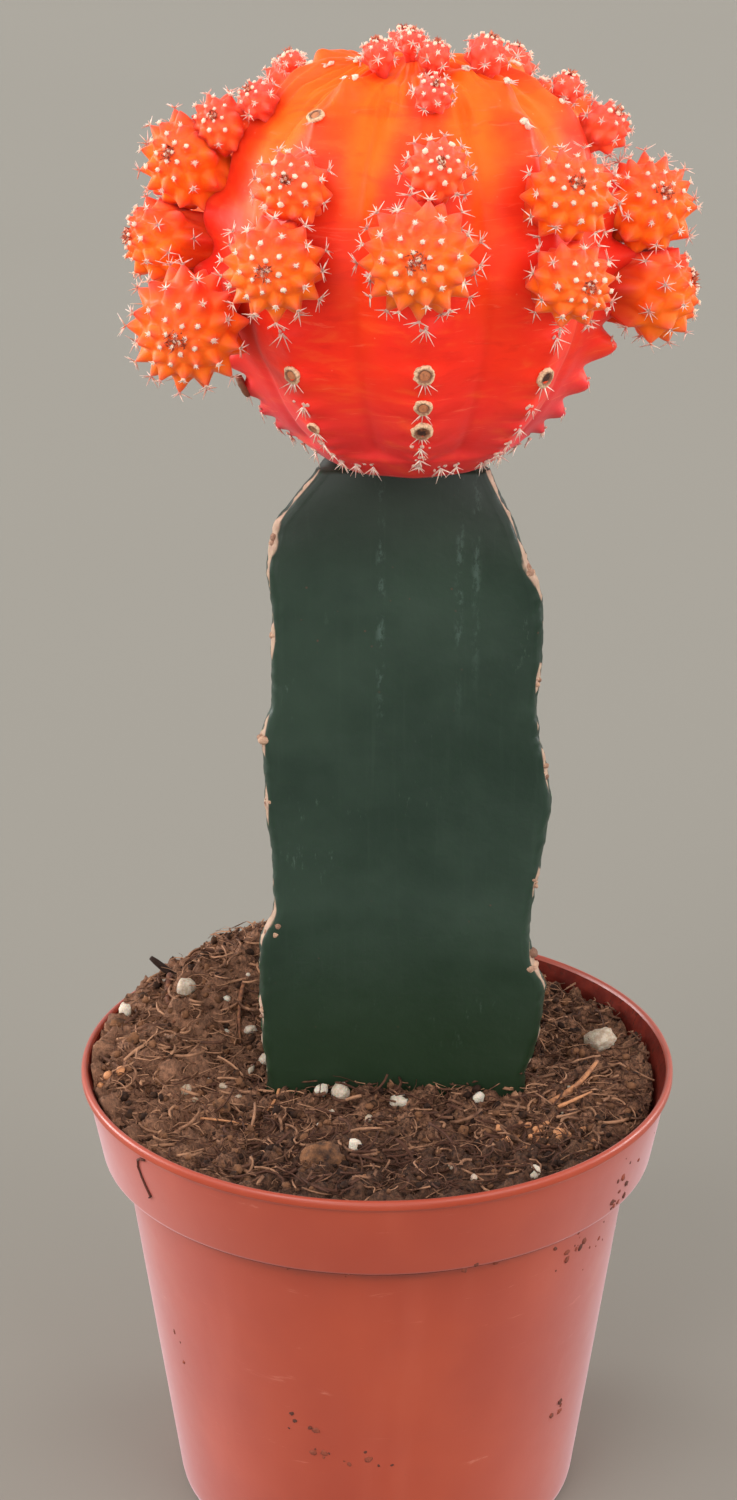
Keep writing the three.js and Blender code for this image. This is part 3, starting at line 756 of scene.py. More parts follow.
def make_bark():
    draw = random.Random(5)
    bm = tinted_bmesh()
    layer = bm.verts.layers.float["tint"]
    for x, y, radius in BARK:
        place = on_soil(x, y, 0.2 * radius)
        for vert in add_stone(bm, place, radius, draw, 0, 0.6, 3, 0.04):
            bump = noise.fractal(vert.co / 1.3, 0.7, 2.1, 3)
            vert.co += (vert.co - place) * 0.35 * bump
            vert[layer] = 0.5 + 0.5 * bump
    start, end = (on_soil(*place) for place in DARK_STICK)
    add_rod(bm, [start.lerp(end, step / 6) for step in range(7)], DARK_STICK_RADII, -1.0)
    close(bm)
    finish = plain_finish(
        "bark", (50, 34, 27), (136, 92, 62), 0.8, 0.75, 0.95, 0.3, Specular_IOR_Level=0.25
    )
    finished(bm, "bark_chips", finish)


# Loose sticks on the soil: start and end, both with a height above the soil, radius and tint.
STICKS = [
    ((-13.6, -3.2, 1.6), (-16.2, -12.8, 0.4), 0.28, 0.8),
    ((24.3, -8.5, 0.4), (31.7, -1.2, 2.2), 0.6, 0.55),
    ((25.5, -12, 0.6), (30.5, -7.5, 1.4), 0.3, 0.7),
    ((-31, 19.3, 0.4), (-29.7, 8.2, 0.5), 0.55, 0.15),
    ((-19.9, 17.7, 0.4), (-20.1, 8, 0.6), 0.4, 0.3),
    ((-24.7, -15.2, 0.5), (-17, -16.6, 0.5), 0.2, 0.8),
    ((19, 4, 0.4), (20.5, -5, 0.7), 0.22, 0.6),
    ((-10, 33, 0.5), (-2, 30, 1.5), 0.35, 0.4),
    ((12, 30, 0.4), (20, 24, 1.2), 0.3, 0.5),
]
# Heaps of pale wood crumbs: x, y, how many, and how far they spread.
WOOD_CRUMBS = [
    (23, -18.5, 34, 2.6), (17.5, -19, 10, 1.6), (-38, -6, 5, 1.2), (-10, 8, 6, 2), (8, 34, 10, 3)
]


def make_sticks():
    """Straws and splinters that lie on the soil, each a tapered rod with a slight bend, and
    wood crumbs."""
    draw = random.Random(88)
    bm = tinted_bmesh()
    shares = np.linspace(0, 1, 9)
    for *ends, radius, tint in STICKS:
        start, end = (on_soil(*place) for place in ends)
        way = end - start
        sag = across(way.normalized(), draw.uniform(0, math.tau)) * 0.06 * way.length
        path = [start + way * share + sag * math.sin(math.pi * share) for share in shares]
        radii = [radius * lerp(1, 0.45, share) * draw.uniform(0.85, 1.15) for share in shares]
        add_rod(bm, path, radii, tint)
    close(bm)
    for middle_x, middle_y, number, spread in WOOD_CRUMBS:
        for _ in range(number):
            x, y = draw.gauss(middle_x, spread), draw.gauss(middle_y, 0.6 * spread)
            size, tint = draw.uniform(0.25, 0.75), draw.uniform(0.35, 1.1)
            add_stone(bm, on_soil(x, y, 0.35 * size), size, draw, tint, jag=0.15)
    finish = plain_finish("straw", (98, 54, 36), (202, 138, 92), 0.8, 0.6, 0.85, 0.1)
    finished(bm, "soil_sticks", finish)


# Rootstock

# Outline of the stem's front: height, left edge and right edge.
STATIONS = [
    (58, -15.6, 21), (67.8, -15.6, 21), (71.5, -16.2, 22.5), (77.5, -16.5, 23.5),
    (81.5, -16.6, 23.7), (85, -16.5, 21.8), (89, -16.3, 21.3), (92.5, -14.3, 21.4),
    (101, -14.5, 22.8), (108.5, -15.4, 24), (114.5, -15.4, 23.2), (119, -15.9, 21.9),
    (123, -14.4, 21.5), (131, -14.3, 22.2), (137.5, -14.1, 22.2), (141.2, -14.6, 21.4),
    (143.2, -14.8, 20.2), (148.5, -13.8, 18.3), (151, -12.0, 17.0), (153.2, -10.0, 15.8),
    (155.8, -7.8, 14.5),
]
STEM_FOOT = 58.0
STEM_TOP = 155.8
STEM_FRONT = -5.6
STEM_BACK = 25.4
STEM_AXIS_Y = 4.6
STEM_ROWS = 190
STEM_COLUMNS = 120
SHOULDER_START = 141
SHOULDER_SPAN = 14
FACE_DEPTH = 8.9
RIB_CHAMFER = 0.9
RIB_HALF = 1.2
ROUNDING = 0.14
# Areoles on the edges of the ribs: which edge (0 left, 1 right, 2 back), height and size.
STEM_AREOLES = [
    (0, 146.5, 0.9), (0, 118.5, 1.1), (0, 109, 0.8), (0, 90.5, 1.7), (0, 77, 0.7),
    (0, 133, 0.8), (1, 141.8, 1.1), (1, 127, 0.7), (1, 113.6, 1.0), (1, 97, 0.6),
    (1, 84.2, 1.4), (2, 146, 0.9), (2, 133, 0.9), (2, 118, 1.0), (2, 103, 0.9), (2, 88, 1.1),
    (2, 75, 0.9),
]
# Trails of dried minerals down the broad face: place across it, lowest and clearest height.
MINERAL_TRAILS = [(0.4, 112, 132), (11, 116, 140), (13.2, 120, 146)]


def margin(height, column):
    """One edge of the stem at a height, with the corners of the stations eased."""
    return sum(read_off(STATIONS, height + step, column) for step in (-0.7, 0, 0.7)) / 3


def stem_places(turn, height):
    """Places on the stem, how close each is to a rib's edge, and the way out along that rib.
    Turn runs from 0 to 3, one for each face, and height is in millimetres."""
    left, right = margin(height, 1), margin(height, 2)
    middle = np.stack([(left + right) / 2, np.full_like(height, STEM_AXIS_Y)])
    wave = ease(height, 67.8, 77.5) * np.sin(height / 31 * math.tau)
    shoulder = np.clip((height - SHOULDER_START) / SHOULDER_SPAN, 0, None) ** 1.6
    front, back = STEM_FRONT + 1.8 * shoulder, STEM_BACK + wave - 7 * shoulder
    tips = np.array([[left, front], [right, front], [middle[0], back]])
    side = np.floor(turn).astype(int) % 3
    share = turn - np.floor(turn)
    second = share > 0.5
    run = 2 * np.where(second, 1 - share, share)
    near = np.where(second, (side + 1) % 3, side)
    tip = tips[near, :, np.arange(len(near))].T
    outward = (tip - middle) / np.hypot(*(tip - middle))
    sideways = np.stack([-outward[1], outward[0]]) * np.where(second, -1.0, 1.0)
    corner = tip - RIB_CHAMFER * outward + RIB_HALF * sideways
    bearing = np.radians(120.0 * side)
    inward = np.stack([np.sin(bearing), -np.cos(bearing)])
    face = middle + FACE_DEPTH * inward
    bend = np.clip(run / ROUNDING, 0, 1) * math.pi / 2
    edge = tip + np.sin(bend) * RIB_HALF * sideways - (1 - np.cos(bend)) * RIB_CHAMFER * outward
    along = np.clip((run - ROUNDING) / (1 - ROUNDING), 0, 1)
    point = lerp(corner, face, along)
    depths = [((place - middle) * inward).sum(0) for place in (corner, face, point)]
    point += inward * (lerp(depths[0], depths[1], np.sin(along * math.pi / 2)) - depths[2])
    close_by = 1 - np.clip(run / (1.6 * ROUNDING), 0, 1)
    return np.where(run < ROUNDING, edge, point), close_by, outward


def make_rootstock():
    bm = bmesh.new()
    ops.create_grid(bm, x_segments=STEM_COLUMNS, y_segments=STEM_ROWS, size=1)
    unit = (places(bm)[:, :2] + 1) / 2
    turn = unit[:, 0] * 3
    height = lerp(STEM_FOOT, STEM_TOP, unit[:, 1])
    place, edge, outward = stem_places(np.mod(turn, 3), height)
    points = np.column_stack([*place, height])
    fine = rough(points, 2.2, 3)
    push = edge**1.5 * (0.35 * fine - 0.1) + 0.3 * rough(points, 14, 5, 2) * (1 - edge)
    points[:, :2] += (outward * push).T
    points[:, 2] += np.where(height > STEM_TOP - 0.01, 0.0, 0.15 * fine * edge)
    move_to(bm, points)
    near = np.zeros_like(height)
    for side, level, size in STEM_AREOLES:
        away = np.abs(np.mod(turn - side + 1.5, 3) - 1.5)
        near = np.maximum(near, bell(height - level, 1.6 + size) * (away < 0.5))
    cork = edge * (0.34 + 0.3 * fine + 0.28 * ease(height, 139, 143) + 0.5 * near)
    mark(bm, "cork", np.clip(cork + 0.26 * ease(edge, 0.9, 1), 0, 1.5))
    ops.remove_doubles(bm, verts=bm.verts, dist=0.01)
    close(bm)
    finished(bm, "rootstock_stem", stem_skin(), ["rootstock"])


def stem_skin():
    """Dark waxy skin with faint streaks, mineral trails, bloom, specks, and cork on the edges."""
    finish = Finish(
        "rootstock_skin", (31, 47, 37), Specular_IOR_Level=0.22, Subsurface_Weight=0.08,
        Subsurface_Scale=0.002, Subsurface_Radius=(0.3, 1.0, 0.3), Coat_Weight=0.04,
        Coat_Roughness=0.35,
    )
    height, side = finish.place("Z"), finish.place("X")
    finish.wash(finish.clouds(16, 4), 0.3, 0.7, 1, (43, 59, 48))
    streak = finish.clouds(1.1, 5, 0.7, finish.stretched(1, 1, 0.035))
    finish.wash(streak, 0.54, 0.75, 0.12, (62, 78, 66))
    salt = finish.clouds(1.4, 6, 0.8, finish.stretched(1, 1, 0.5))
    salt = finish.between(salt, 0.5, 0.62, 0, 0.32)
    for place, low, high in MINERAL_TRAILS:
        off = finish.maths("ABSOLUTE", finish.maths("SUBTRACT", side, place * MM))
        trail = finish.times(finish.between(off, 0.0, 0.0009, 1, 0), salt)
        trail = finish.times(trail, finish.between(height, low * MM, high * MM))
        finish.paint(trail, (100, 120, 112))
    bloom = finish.clouds(1.1, 5, 0.75, finish.stretched(1, 1, 0.3))
    bloom = finish.between(bloom, 0.6, 0.72, 0, 0.5)
    patches = finish.between(finish.clouds(13, 2), 0.5, 0.62)
    finish.paint(finish.times(bloom, patches), (92, 110, 98))
    specks = finish.between(finish.cells(2.4), 0.09, 0.04, 0, 0.55)
    patches = finish.between(finish.clouds(9, 2), 0.45, 0.6)
    finish.paint(finish.times(specks, patches), (92, 62, 50))
    finish.wash(height, 0.096, 0.068, 0.7, (26, 42, 20))
    # Painted shade at the top of the stem, under the head.
    finish.wash(height, 0.138, 0.153, 0.45, (38, 38, 34))
    cork = finish.mark("cork")
    bark = finish.blend(finish.clouds(1.2, 4), (128, 100, 84), (200, 170, 148))
    finish.wash(cork, 0.62, 0.8, 1, bark)
    finish.roughness(cork, 0.5, 0.8, 0.42, 0.85)
    finish.relief(finish.clouds(0.5, 3), 0.03, 0.6)
    finish.relief(finish.clouds(5, 3), 0.3, 0.4)
    return finish.material


def make_stem_areoles():
    """Small heaps of dry cork on the edges of the stem."""
    draw = random.Random(23)
    bm = tinted_bmesh()
    for edge, height, size in STEM_AREOLES:
        place, _, outward = stem_places(*np.array([[edge], [height]], float))
        middle = Vector((*(place - 0.62 * size * outward)[:, 0], height))
        for _ in range(6):
            spot = middle + Vector([draw.gauss(0, spread) for spread in (0.25, 0.25, 0.6)]) * size
            tint = draw.random()
            add_stone(bm, spot, size * draw.uniform(0.45, 0.75), draw, tint, jag=0.12)
    finish = plain_finish("dry_cork", (120, 84, 66), (186, 148, 122), 0.6, 0.75, 0.95, 0.2)
    finished(bm, "rootstock_areoles", finish)


# Grafted head

HEAD = Vector((4.5, 2.5, 182.3))
RIB_BEARINGS = [3, 43, 85, 135, 182, 228, 275, 322]
RIB_PHASES = [0, 0.42, 0.4, 0.1, 0.55, 0.3, 0.6, 0.27]
AREOLES_PER_RIB = 10
ROW_START = 60
ROW_LIMIT = -75
ROW_DECAY = 0.22
NOTCH_RADIUS = 26.3
HEAD_BASE = 26.4
# The rib seen from its side has fewer, longer lobes: its number and the latitudes of its areoles.
LOBED_RIB = 2
LOBED_ROWS = [48, 24, 5, -6, -20, -33, -43.5, -51, -56, -60]
# Latitude of the first areole, on ribs where it stands lower.
FIRST_ROWS = {7: 47.5, 1: 45.5}
# How far the chins of each rib stand out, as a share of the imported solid's.
CHIN_STRENGTH = [0.3, 0.35, 1.15, 0.9, 0.5, 0.9, 0.8, 0.35]
# Small swellings on the ribs round the crown: bearing, latitude and rise.
CROWN_LOBES = [
    (131, 62, 1.0), (123, 56, 1.5), (115, 49, 1.5), (104, 43, 1.0), (96, 56, 0.7),
    (104, 63, 0.6), (66, 65, 0.8), (48, 58, 0.9), (45, 46, 0.8), (38, 68, 0.9), (-35, 60, 0.9),
    (-38, 48, 0.8), (-81, 67, 0.6), (-96, 60, 0.8), (-72, 74, 0.4), (-124, 60, 1.6),
    (-132, 66, 0.9), (-117, 52, 1.0), (-108, 45, 0.9), (135, 66, 0.5), (160, 58, 0.5),
    (-178, 50, 0.9), (5, 69, 0.6), (16, 62, 0.4), (-12, 64, 0.5), (-22, 66, 0.4), (27, 63, 0.5),
]
LOBE_WAYS = np.array([direction(*lobe[:2]) for lobe in CROWN_LOBES])
LOBE_RISES = 1.5 * np.array([lobe[2] for lobe in CROWN_LOBES])
LOBE_SPAN = 0.07
# Underside of the head, where it closes in on the stock: degrees below its middle, reach and
# height.
UNDERSIDE = [
    (56, 15.5, -22.6), (60, 14.0, -23.8), (64, 12.8, -24.8), (68, 11.7, -25.6),
    (73, 10.4, -26.2), (80, 6, -26.4), (90, 0, -26.4),
]
HEAD_COLUMNS = 320
HEAD_ROWS = 230


def areole_rows():
    """Latitudes of the areoles of each rib, from the crown down."""
    counts = np.arange(AREOLES_PER_RIB)
    falls = [np.exp(-ROW_DECAY * (counts + phase)) for phase in RIB_PHASES]
    rows = [lerp(ROW_LIMIT, ROW_START, fall) for fall in falls]
    rows[LOBED_RIB] = np.array(LOBED_ROWS, float)
    for rib, latitude in FIRST_ROWS.items():
        rows[rib][0] = latitude
    return rows


AREOLE_ROWS = areole_rows()


def chin_rise(turn):
    """Outline of a chin along one areole spacing, from 0 in the notches to 1 at its tip."""
    share = np.mod(turn + 0.18, 1)
    swept = np.where(share < 0.32, 0.5 * share / 0.32, 0.5 + 0.5 * (share - 0.32) / 0.68)
    return np.sin(math.pi * swept) ** 1.7


def head_radius(latitude, crest, rise):
    """Radius of the head for a latitude in degrees, a crest share and the rise of a chin."""
    spacing = NOTCH_RADIUS * (1 - math.exp(-ROW_DECAY)) * np.radians(latitude - ROW_LIMIT)
    chin = spacing * lerp(0.08, 0.5, ease(latitude, 45, -12))
    swell = 1.5 * ease(latitude, -25, -60)
    valley = 1.8 * np.cos(np.radians(latitude)) * (1 - crest**1.25)
    return NOTCH_RADIUS + swell - valley + chin * rise * crest**4


def row_count(rib, latitude):
    """Place of a latitude along a rib, counted in areoles from the first one."""
    rows = AREOLE_ROWS[rib]
    known = np.concatenate([[90], rows, [ROW_LIMIT]])
    counts = np.concatenate([[-(90 - rows[0]) / 32], np.arange(len(rows)), [len(rows) + 3]])
    return np.interp(-latitude, -known, counts)


def rib_share(bearing, latitude):
    """Crest share (1 on a crest, 0 in a valley), areole count and chin strength."""
    starts = np.array(RIB_BEARINGS + [RIB_BEARINGS[0] + 360], float)
    ribs = len(RIB_BEARINGS)
    turn = np.mod(bearing - starts[0], 360) + starts[0]
    rib = np.clip(np.searchsorted(starts, turn, side="right") - 1, 0, ribs - 1)
    following = (rib + 1) % ribs
    share = (turn - starts[rib]) / (starts[rib + 1] - starts[rib])
    eased = ease(share, 0, 1)
    counts = np.array([row_count(k, latitude) for k in range(ribs)])
    columns = np.arange(len(rib))
    count = lerp(counts[rib, columns], counts[following, columns], eased)
    strength = np.array(CHIN_STRENGTH)
    return np.abs(1 - 2 * share), count, lerp(strength[rib], strength[following], eased)


def crown_fullness(latitude):
    """How much fuller the shoulders of the head are than a globe."""
    return 1.9 * ease(latitude, 15, 58) * (1 - 0.65 * ease(latitude, 58, 70))


def lobe_rise(ways):
    """How far the crown's lobes rise, for one direction or many."""
    away = 1 - np.array(ways) @ LOBE_WAYS.T
    return np.exp(-2 * away / LOBE_SPAN**2) @ LOBE_RISES


def blunt(value, amount):
    """A value without its kink at zero."""
    return np.sqrt(value**2 + amount) - math.sqrt(amount)


def make_scion():
    bm = bmesh.new()
    ops.create_uvsphere(bm, u_segments=HEAD_COLUMNS, v_segments=HEAD_ROWS, radius=1)
    unit = places(bm)
    turn = np.arctan2(unit[:, 0], -unit[:, 1])
    rows = np.arcsin(np.clip(unit[:, 2], -1, 1)) / math.pi + 0.5
    latitude = 180 * rows**1.25 - 90
    risen = np.radians(latitude)
    flat = np.stack([np.sin(turn), -np.cos(turn)])
    crest, count, strength = rib_share(np.degrees(turn), latitude)
    soft = 1 - blunt(1 - blunt(crest, 0.01) / blunt(1, 0.01), 0.003)
    rise = strength * chin_rise(count) * ease(latitude, 84, 62) * ease(latitude, -63, -57)
    radius = head_radius(np.maximum(latitude, -62), soft, rise)
    radius = lerp(radius, NOTCH_RADIUS, ease(latitude, 72, 90))
    radius += crown_fullness(latitude) * lerp(0.55, 1, soft)
    round_crown = np.column_stack([-flat[1], flat[0], latitude / 240])
    folds = rough(round_crown, 0.13, 6, 2)
    radius += 0.8 * folds * ease(latitude, 46, 60) * ease(latitude, 84, 74)
    radius -= 0.35 * bell(crest, 0.16) * ease(latitude, 80, 50)
    radius += lobe_rise(np.column_stack([*(flat * np.cos(risen)), np.sin(risen)]))
    under = ease(latitude, -53, -58)
    low_reach = read_off(UNDERSIDE, -latitude, 1) + 0.5 * crest * (latitude > -80)
    reach = lerp(radius * np.cos(risen), low_reach, under)
    height = lerp(radius * np.sin(risen), read_off(UNDERSIDE, -latitude, 2), under)
    points = np.column_stack([*(reach * flat), np.maximum(height, -HEAD_BASE)])
    ways = points / np.linalg.norm(points, axis=1)[:, None]
    lumps = rough(points, 9, 2, 2)
    points += ways * (0.22 * lumps * ease(latitude, -62, -50))[:, None]
    spots = points + np.array(HEAD)
    move_to(bm, spots)
    valley = bell(crest, 0.42) * ease(latitude, -50, 30)
    mark(bm, "glow", 0.08 + 0.66 * ease(latitude, -2, 60) + 0.42 * valley + 0.1 * lumps)
    # Pink low on the head, with painted sheen on its left and right sides.
    low = ease(latitude, -18, -55)
    edges = ease(np.abs(flat[0]), 0.55, 0.95)
    mark(bm, "blush_and_sheen", np.clip(low * (0.34 + 0.42 * edges) + 0.2 * rise * soft**6, 0, 0.8))
    # Painted shade: in the rib valleys, low on the head and round each offset.
    shade = np.zeros(len(spots))
    for offset in offsets:
        near = np.linalg.norm(spots - np.array(offset.middle), axis=1) / offset.radius
        shade = np.maximum(shade, ease(near, 1.75, 1.0))
    crease_shade = 0.12 * bell(crest, 0.08) + 0.6 * shade + 0.12 * ease(latitude, -22, -56)
    mark(bm, "crease_shade", np.clip(crease_shade, 0, 1))
    face_outwards(bm)
    tones = (247, 46, 27), (250, 60, 16), (254, 106, 18), (206, 66, 78)
    skin = flesh_finish("scion_flesh_skin", *tones, 0.08, 0.3)
    finished(bm, "scion_flesh", skin, ["scion"])


# Offsets: bearing and latitude of the seat, radius, stalk length, and the bearing and latitude
# that the offset's own tip faces.
OFFSETS = [
    (-91, 24, 5.9, 0.3, -27, 21), (-90, 5.2, 5.6, 1.0, -76, 9), (-65, -10, 7.4, -0.6, -11, -1),
    (-88, 36, 4.1, 0, -20, 29), (-81, 47, 2.6, 0, -47, 46), (-101, 58, 1.5, 1.4, -89, 72),
    (-33, 27, 4.6, 0, -13, 26), (-33, 9, 6.1, 0.2, -12, 7), (8, 56, 2.5, 0, 12, 48),
    (6, 33, 4.0, 0.2, 7, 28), (1, 13, 6.9, 0.4, -5, 8), (41, 24, 5.6, 0.3, 9, 30),
    (38, 5, 5.2, 0.3, 28, 6), (90, 13.5, 6.2, -0.5, 24, 31), (87, -6.0, 5.8, 0.5, 84, 20),
    (93, 35, 3.4, 0.3, 59, 45), (96, 48, 2.1, 0.9, 63, 76), (-31, 73, 2.2, 0, -53, 75),
    (-3, 83, 1.9, 0, 0, 84), (18, 73, 2.1, 0, 26, 77), (60, 69, 2.7, 0, 71, 71),
    (136, 51, 3.2, 0, 130, 60), (134, 29, 5.6, 0, 140, 38), (135, 7, 6.6, 0, 128, 10),
    (183, 60, 2.8, 0, 190, 68), (181, 37, 4.9, 0, 176, 45), (182, 13, 7.4, 0, 184, 16),
    (184, -10, 4.3, 0, 180, -14), (229, 45, 3.6, 0, 226, 55), (227, 22, 6.2, 0, 232, 30),
    (229, -1, 6.9, 0, 225, 2),
]
# Offsets that are taller than they are wide, by their number.
TALL_OFFSETS = {1: 1.12, 3: 1.04, 14: 1.07, 15: 1.14}
SEAT_RADIUS = 27.6
SEAT_SHARE = 0.68
PEAK_SHARE = 1.09
DIP_SHARE = 0.84
LARGE_OFFSET = 4.6
# Half the gap between two offsets. Below zero they are grown into each other.
GAP = -0.12


class Offset:
    """One small head: where it sits, where it faces and where its tubercles stand."""

    def __init__(self, number, row):
        bearing, latitude, self.radius, self.stalk, *facing = row
        self.number = number
        self.name = f"offset_{number:02d}"
        self.way = direction(bearing, latitude)
        self.middle = HEAD + self.way * (SEAT_RADIUS + SEAT_SHARE * self.radius + self.stalk)
        self.tip = direction(*facing)
        self.spine = 0.8 + 0.19 * self.radius
        self.tall = TALL_OFFSETS.get(number, 1.0)
        count = round(16 + 5.3 * self.radius)
        index = np.arange(count)
        level = 1 - 2 * ((index + 0.5) / count) ** 1.95
        width = np.sqrt(1 - level**2)
        angle = index * GOLDEN_ANGLE + number
        local = np.column_stack([width * np.cos(angle), width * np.sin(angle), level])
        self.tubercles = local @ np.array(UP.rotation_difference(self.tip).to_matrix()).T
        tip = np.array(self.tip)
        away = (self.tubercles @ tip)[:, None] * self.tubercles - tip
        self.away = away / np.linalg.norm(away, axis=1)[:, None]
        near = np.arccos(np.clip(self.tubercles @ self.tubercles.T, -1, 1))
        near.sort(axis=1)
        self.height = np.clip(near[:, 1:5].mean(1) / 0.5, 0.25, 1.05)

    def nearness(self, unit):
        """Distance of each direction from each tubercle, less along a line from the tip."""
        along = unit @ self.away.T
        beside = unit @ np.cross(self.away, self.tubercles).T
        facing = unit @ self.tubercles.T
        return np.sqrt((0.84 * along) ** 2 + (1.19 * beside) ** 2 + (1 - facing) ** 2)

    def peak(self, which):
        """Place of a tubercle's tip."""
        x, y, z = self.tubercles[which]
        reach = self.radius * lerp(DIP_SHARE, PEAK_SHARE, self.height[which])
        return self.middle + Vector((x, y, z * self.tall)) * reach

    def planes(self):
        """Distance to the plane that parts it from each neighbour, and the neighbour's way."""
        found = []
        for other in offsets:
            way = other.middle - self.middle
            if other is self or way.length >= 1.1 * (self.radius + other.radius) + 1:
                continue
            squares = way.length**2 + PEAK_SHARE**2 * (self.radius**2 - other.radius**2)
            found.append((squares / (2 * way.length) - GAP, way.normalized()))
        return found


offsets = [Offset(number, row) for number, row in enumerate(OFFSETS, 1)]


def make_offset(offset, skin):
    bm = bmesh.new()
    level = 6 if offset.radius > LARGE_OFFSET else 5
    ops.create_icosphere(bm, subdivisions=level, radius=1)
    unit = places(bm)
    angles = offset.nearness(unit)
    order = np.argsort(angles, axis=1)[:, :2]
    first, second = np.take_along_axis(angles, order, 1).T
    share = np.clip(2 * first / (first + second), 0, 1)
    swell = 0.55 * (1 - share) ** 1.6 + 0.225 * (1 + np.cos(math.pi * share))
    radius = offset.radius * lerp(DIP_SHARE, PEAK_SHARE, swell * offset.height[order[:, 0]])
    points = unit * radius[:, None] * np.array([1, 1, offset.tall])
    seat = np.array(offset.way)
    inward = -(unit @ seat)
    wide = offset.stalk > 0.4 and offset.radius > 5
    start, full, narrowing, shade = (0.5, 0.95, 0.1, 0.9) if wide else (0.72, 0.99, 0.3, 0.35)
    drawn = ease(inward, start, full)
    if offset.stalk > 0.2 or offset.radius < 3.6:
        points -= (points - np.outer(points @ seat, seat)) * (narrowing * drawn)[:, None]
        neck = max(offset.stalk, 0) + 0.6 * offset.radius + 1
        points -= seat * (drawn * neck)[:, None]
    pressed = np.zeros(len(unit))
    for limit, way in offset.planes():
        over = points @ np.array(way) - limit
        points -= np.array(way) * np.maximum(over, 0)[:, None]
        pressed = np.maximum(pressed, ease(over, -0.7, 0.0))
    points += unit * (0.12 * rough(points, 2.5, offset.number, 2))[:, None]
    move_to(bm, points + np.array(offset.middle))
    small = ease(offset.radius, 5.5, 2.4)
    # Painted sheen: pinker on the upper side, and less orange there than underneath.
    painted_top_sheen = ease(unit[:, 2], 0.1, 0.9)
    peak = ease(swell, 0.2, 0.85)
    apex = ease(unit @ np.array(offset.tip), 0.8, 0.97)
    mark(bm, "blush_and_sheen", np.clip(0.45 * peak + 0.22 * painted_top_sheen + 0.5 * small + 0.12 * apex, 0, 0.85))
    glow = 0.8 + 0.1 * ease(unit[:, 2], 0.4, -0.6) - 0.35 * small - 0.12 * painted_top_sheen - 0.15 * peak
    # Painted shade where the offsets press into each other.
    mark(bm, "glow", glow - 0.3 * pressed)
    # Painted shade in the folds between tubercles, where offsets press together, on the neck and on
    # the side that faces the head.
    crease_shade = 0.18 * ease(share, 0.75, 1.0) + pressed + drawn + shade * ease(inward, 0.15, 0.8)
    mark(bm, "crease_shade", np.clip(crease_shade, 0, 1))
    face_outwards(bm)
    finished(bm, f"{offset.name}_flesh", skin, [offset.name])


# Wool and spines of the areoles

SPINE_THICKNESS = 0.13
HEAD_SPINE_THICKNESS = 0.14
# How far to the side a spine may reach, so that the plant keeps its width.
SPINE_LIMIT = 42.4


def add_wool(bm, place, way, size, draw, tint):
    """A small flat pad of wool."""
    shape = aimed(place, way) @ Matrix.Diagonal((1, 1, 0.6, 1))
    add_lump(bm, shape, size, draw, tint, 0.2, 1)


def add_spine(bm, root, way, length, thick, tint):
    made = ops.create_cone(
        bm, cap_ends=True, segments=3, radius1=thick, radius2=0.2 * thick, depth=length,
        matrix=aimed(root + way * (length / 2 - 0.1), way),
    )
    stain(bm, made["verts"], tint)


def add_star(bm, offset, place, way, age, draw):
    """The spines of one areole of an offset, which spread as they age."""
    length = offset.spine * lerp(0.26, 0.92, age) * min(1, offset.radius / 6 + 0.6)
    count = draw.randint(5, 8)
    turn = draw.uniform(0, math.tau)
    for spine in range(count):
        lean = math.radians(draw.uniform(52, 82))
        side = across(way, turn + spine * math.tau / count + draw.uniform(-0.25, 0.25))
        aim = (way * math.cos(lean) + side * math.sin(lean)).normalized()
        reach = length * draw.uniform(0.7, 1.1)
        if abs((place + aim * reach).x) > SPINE_LIMIT:
            reach *= 0.6
        tint = draw.uniform(0.0, 0.6) + 0.3 * age
        add_spine(bm, place, aim, reach, SPINE_THICKNESS, tint)


def add_tuft(bm, offset, draw):
    """The brown tuft on the tip of an offset."""
    tip, radius = offset.tip, offset.radius
    for _ in range(round(12 + 4 * radius)):
        spread = across(tip, draw.uniform(0, math.tau)) * draw.uniform(0, 0.19 * radius)
        aim = tip + across(tip, draw.uniform(0, 6)) * draw.uniform(0.3, 1.4)
        root = offset.middle + tip * radius * 0.9 + spread
        length = draw.uniform(0.5, 0.9) + 0.04 * radius
        add_spine(bm, root, aim.normalized(), length, SPINE_THICKNESS, draw.random())


def dress_offsets():
    """Wool, spines and brown tip tufts of all the offsets."""
    wool, spines, tufts = [], [], []
    for offset in offsets:
        draw = random.Random(100 + offset.number)
        planes = offset.planes()
        for parts in (wool, spines, tufts):
            parts.append(tinted_bmesh())
        thick = float(lerp(0.8, 1, ease(offset.radius, 2.2, 4.2)))
        for which, row in enumerate(offset.tubercles):
            way = Vector(row)
            place = offset.peak(which)
            inside = place - offset.middle
            hidden = any(inside.dot(side) > limit - 0.5 for limit, side in planes)
            if hidden or (place - HEAD).length < SEAT_RADIUS + 1.2:
                continue
            age = float(ease(way.dot(offset.tip), 0.95, 0.1))
            size = lerp(0.3, 0.42, float(offset.height[which])) * (1 - 0.35 * age)
            size *= draw.uniform(0.65, 1.15) * thick
            tint = 0.85 - 0.8 * age + draw.gauss(0, 0.2)
            add_wool(wool[-1], place - way * 0.05, way, size, draw, tint)
            add_star(spines[-1], offset, place, way, age, draw)
        add_tuft(tufts[-1], offset, draw)
    finished(merged(wool), "offset_wool", wool_finish())
    finished(merged(spines), "offset_spines", spine_finish())
    tuft_finish = plain_finish("brown_tufts", (150, 56, 34), (228, 118, 78), 0.6, 0.5, 0.7, 0.02)
    finished(merged(tufts), "offset_tip_tufts", tuft_finish)


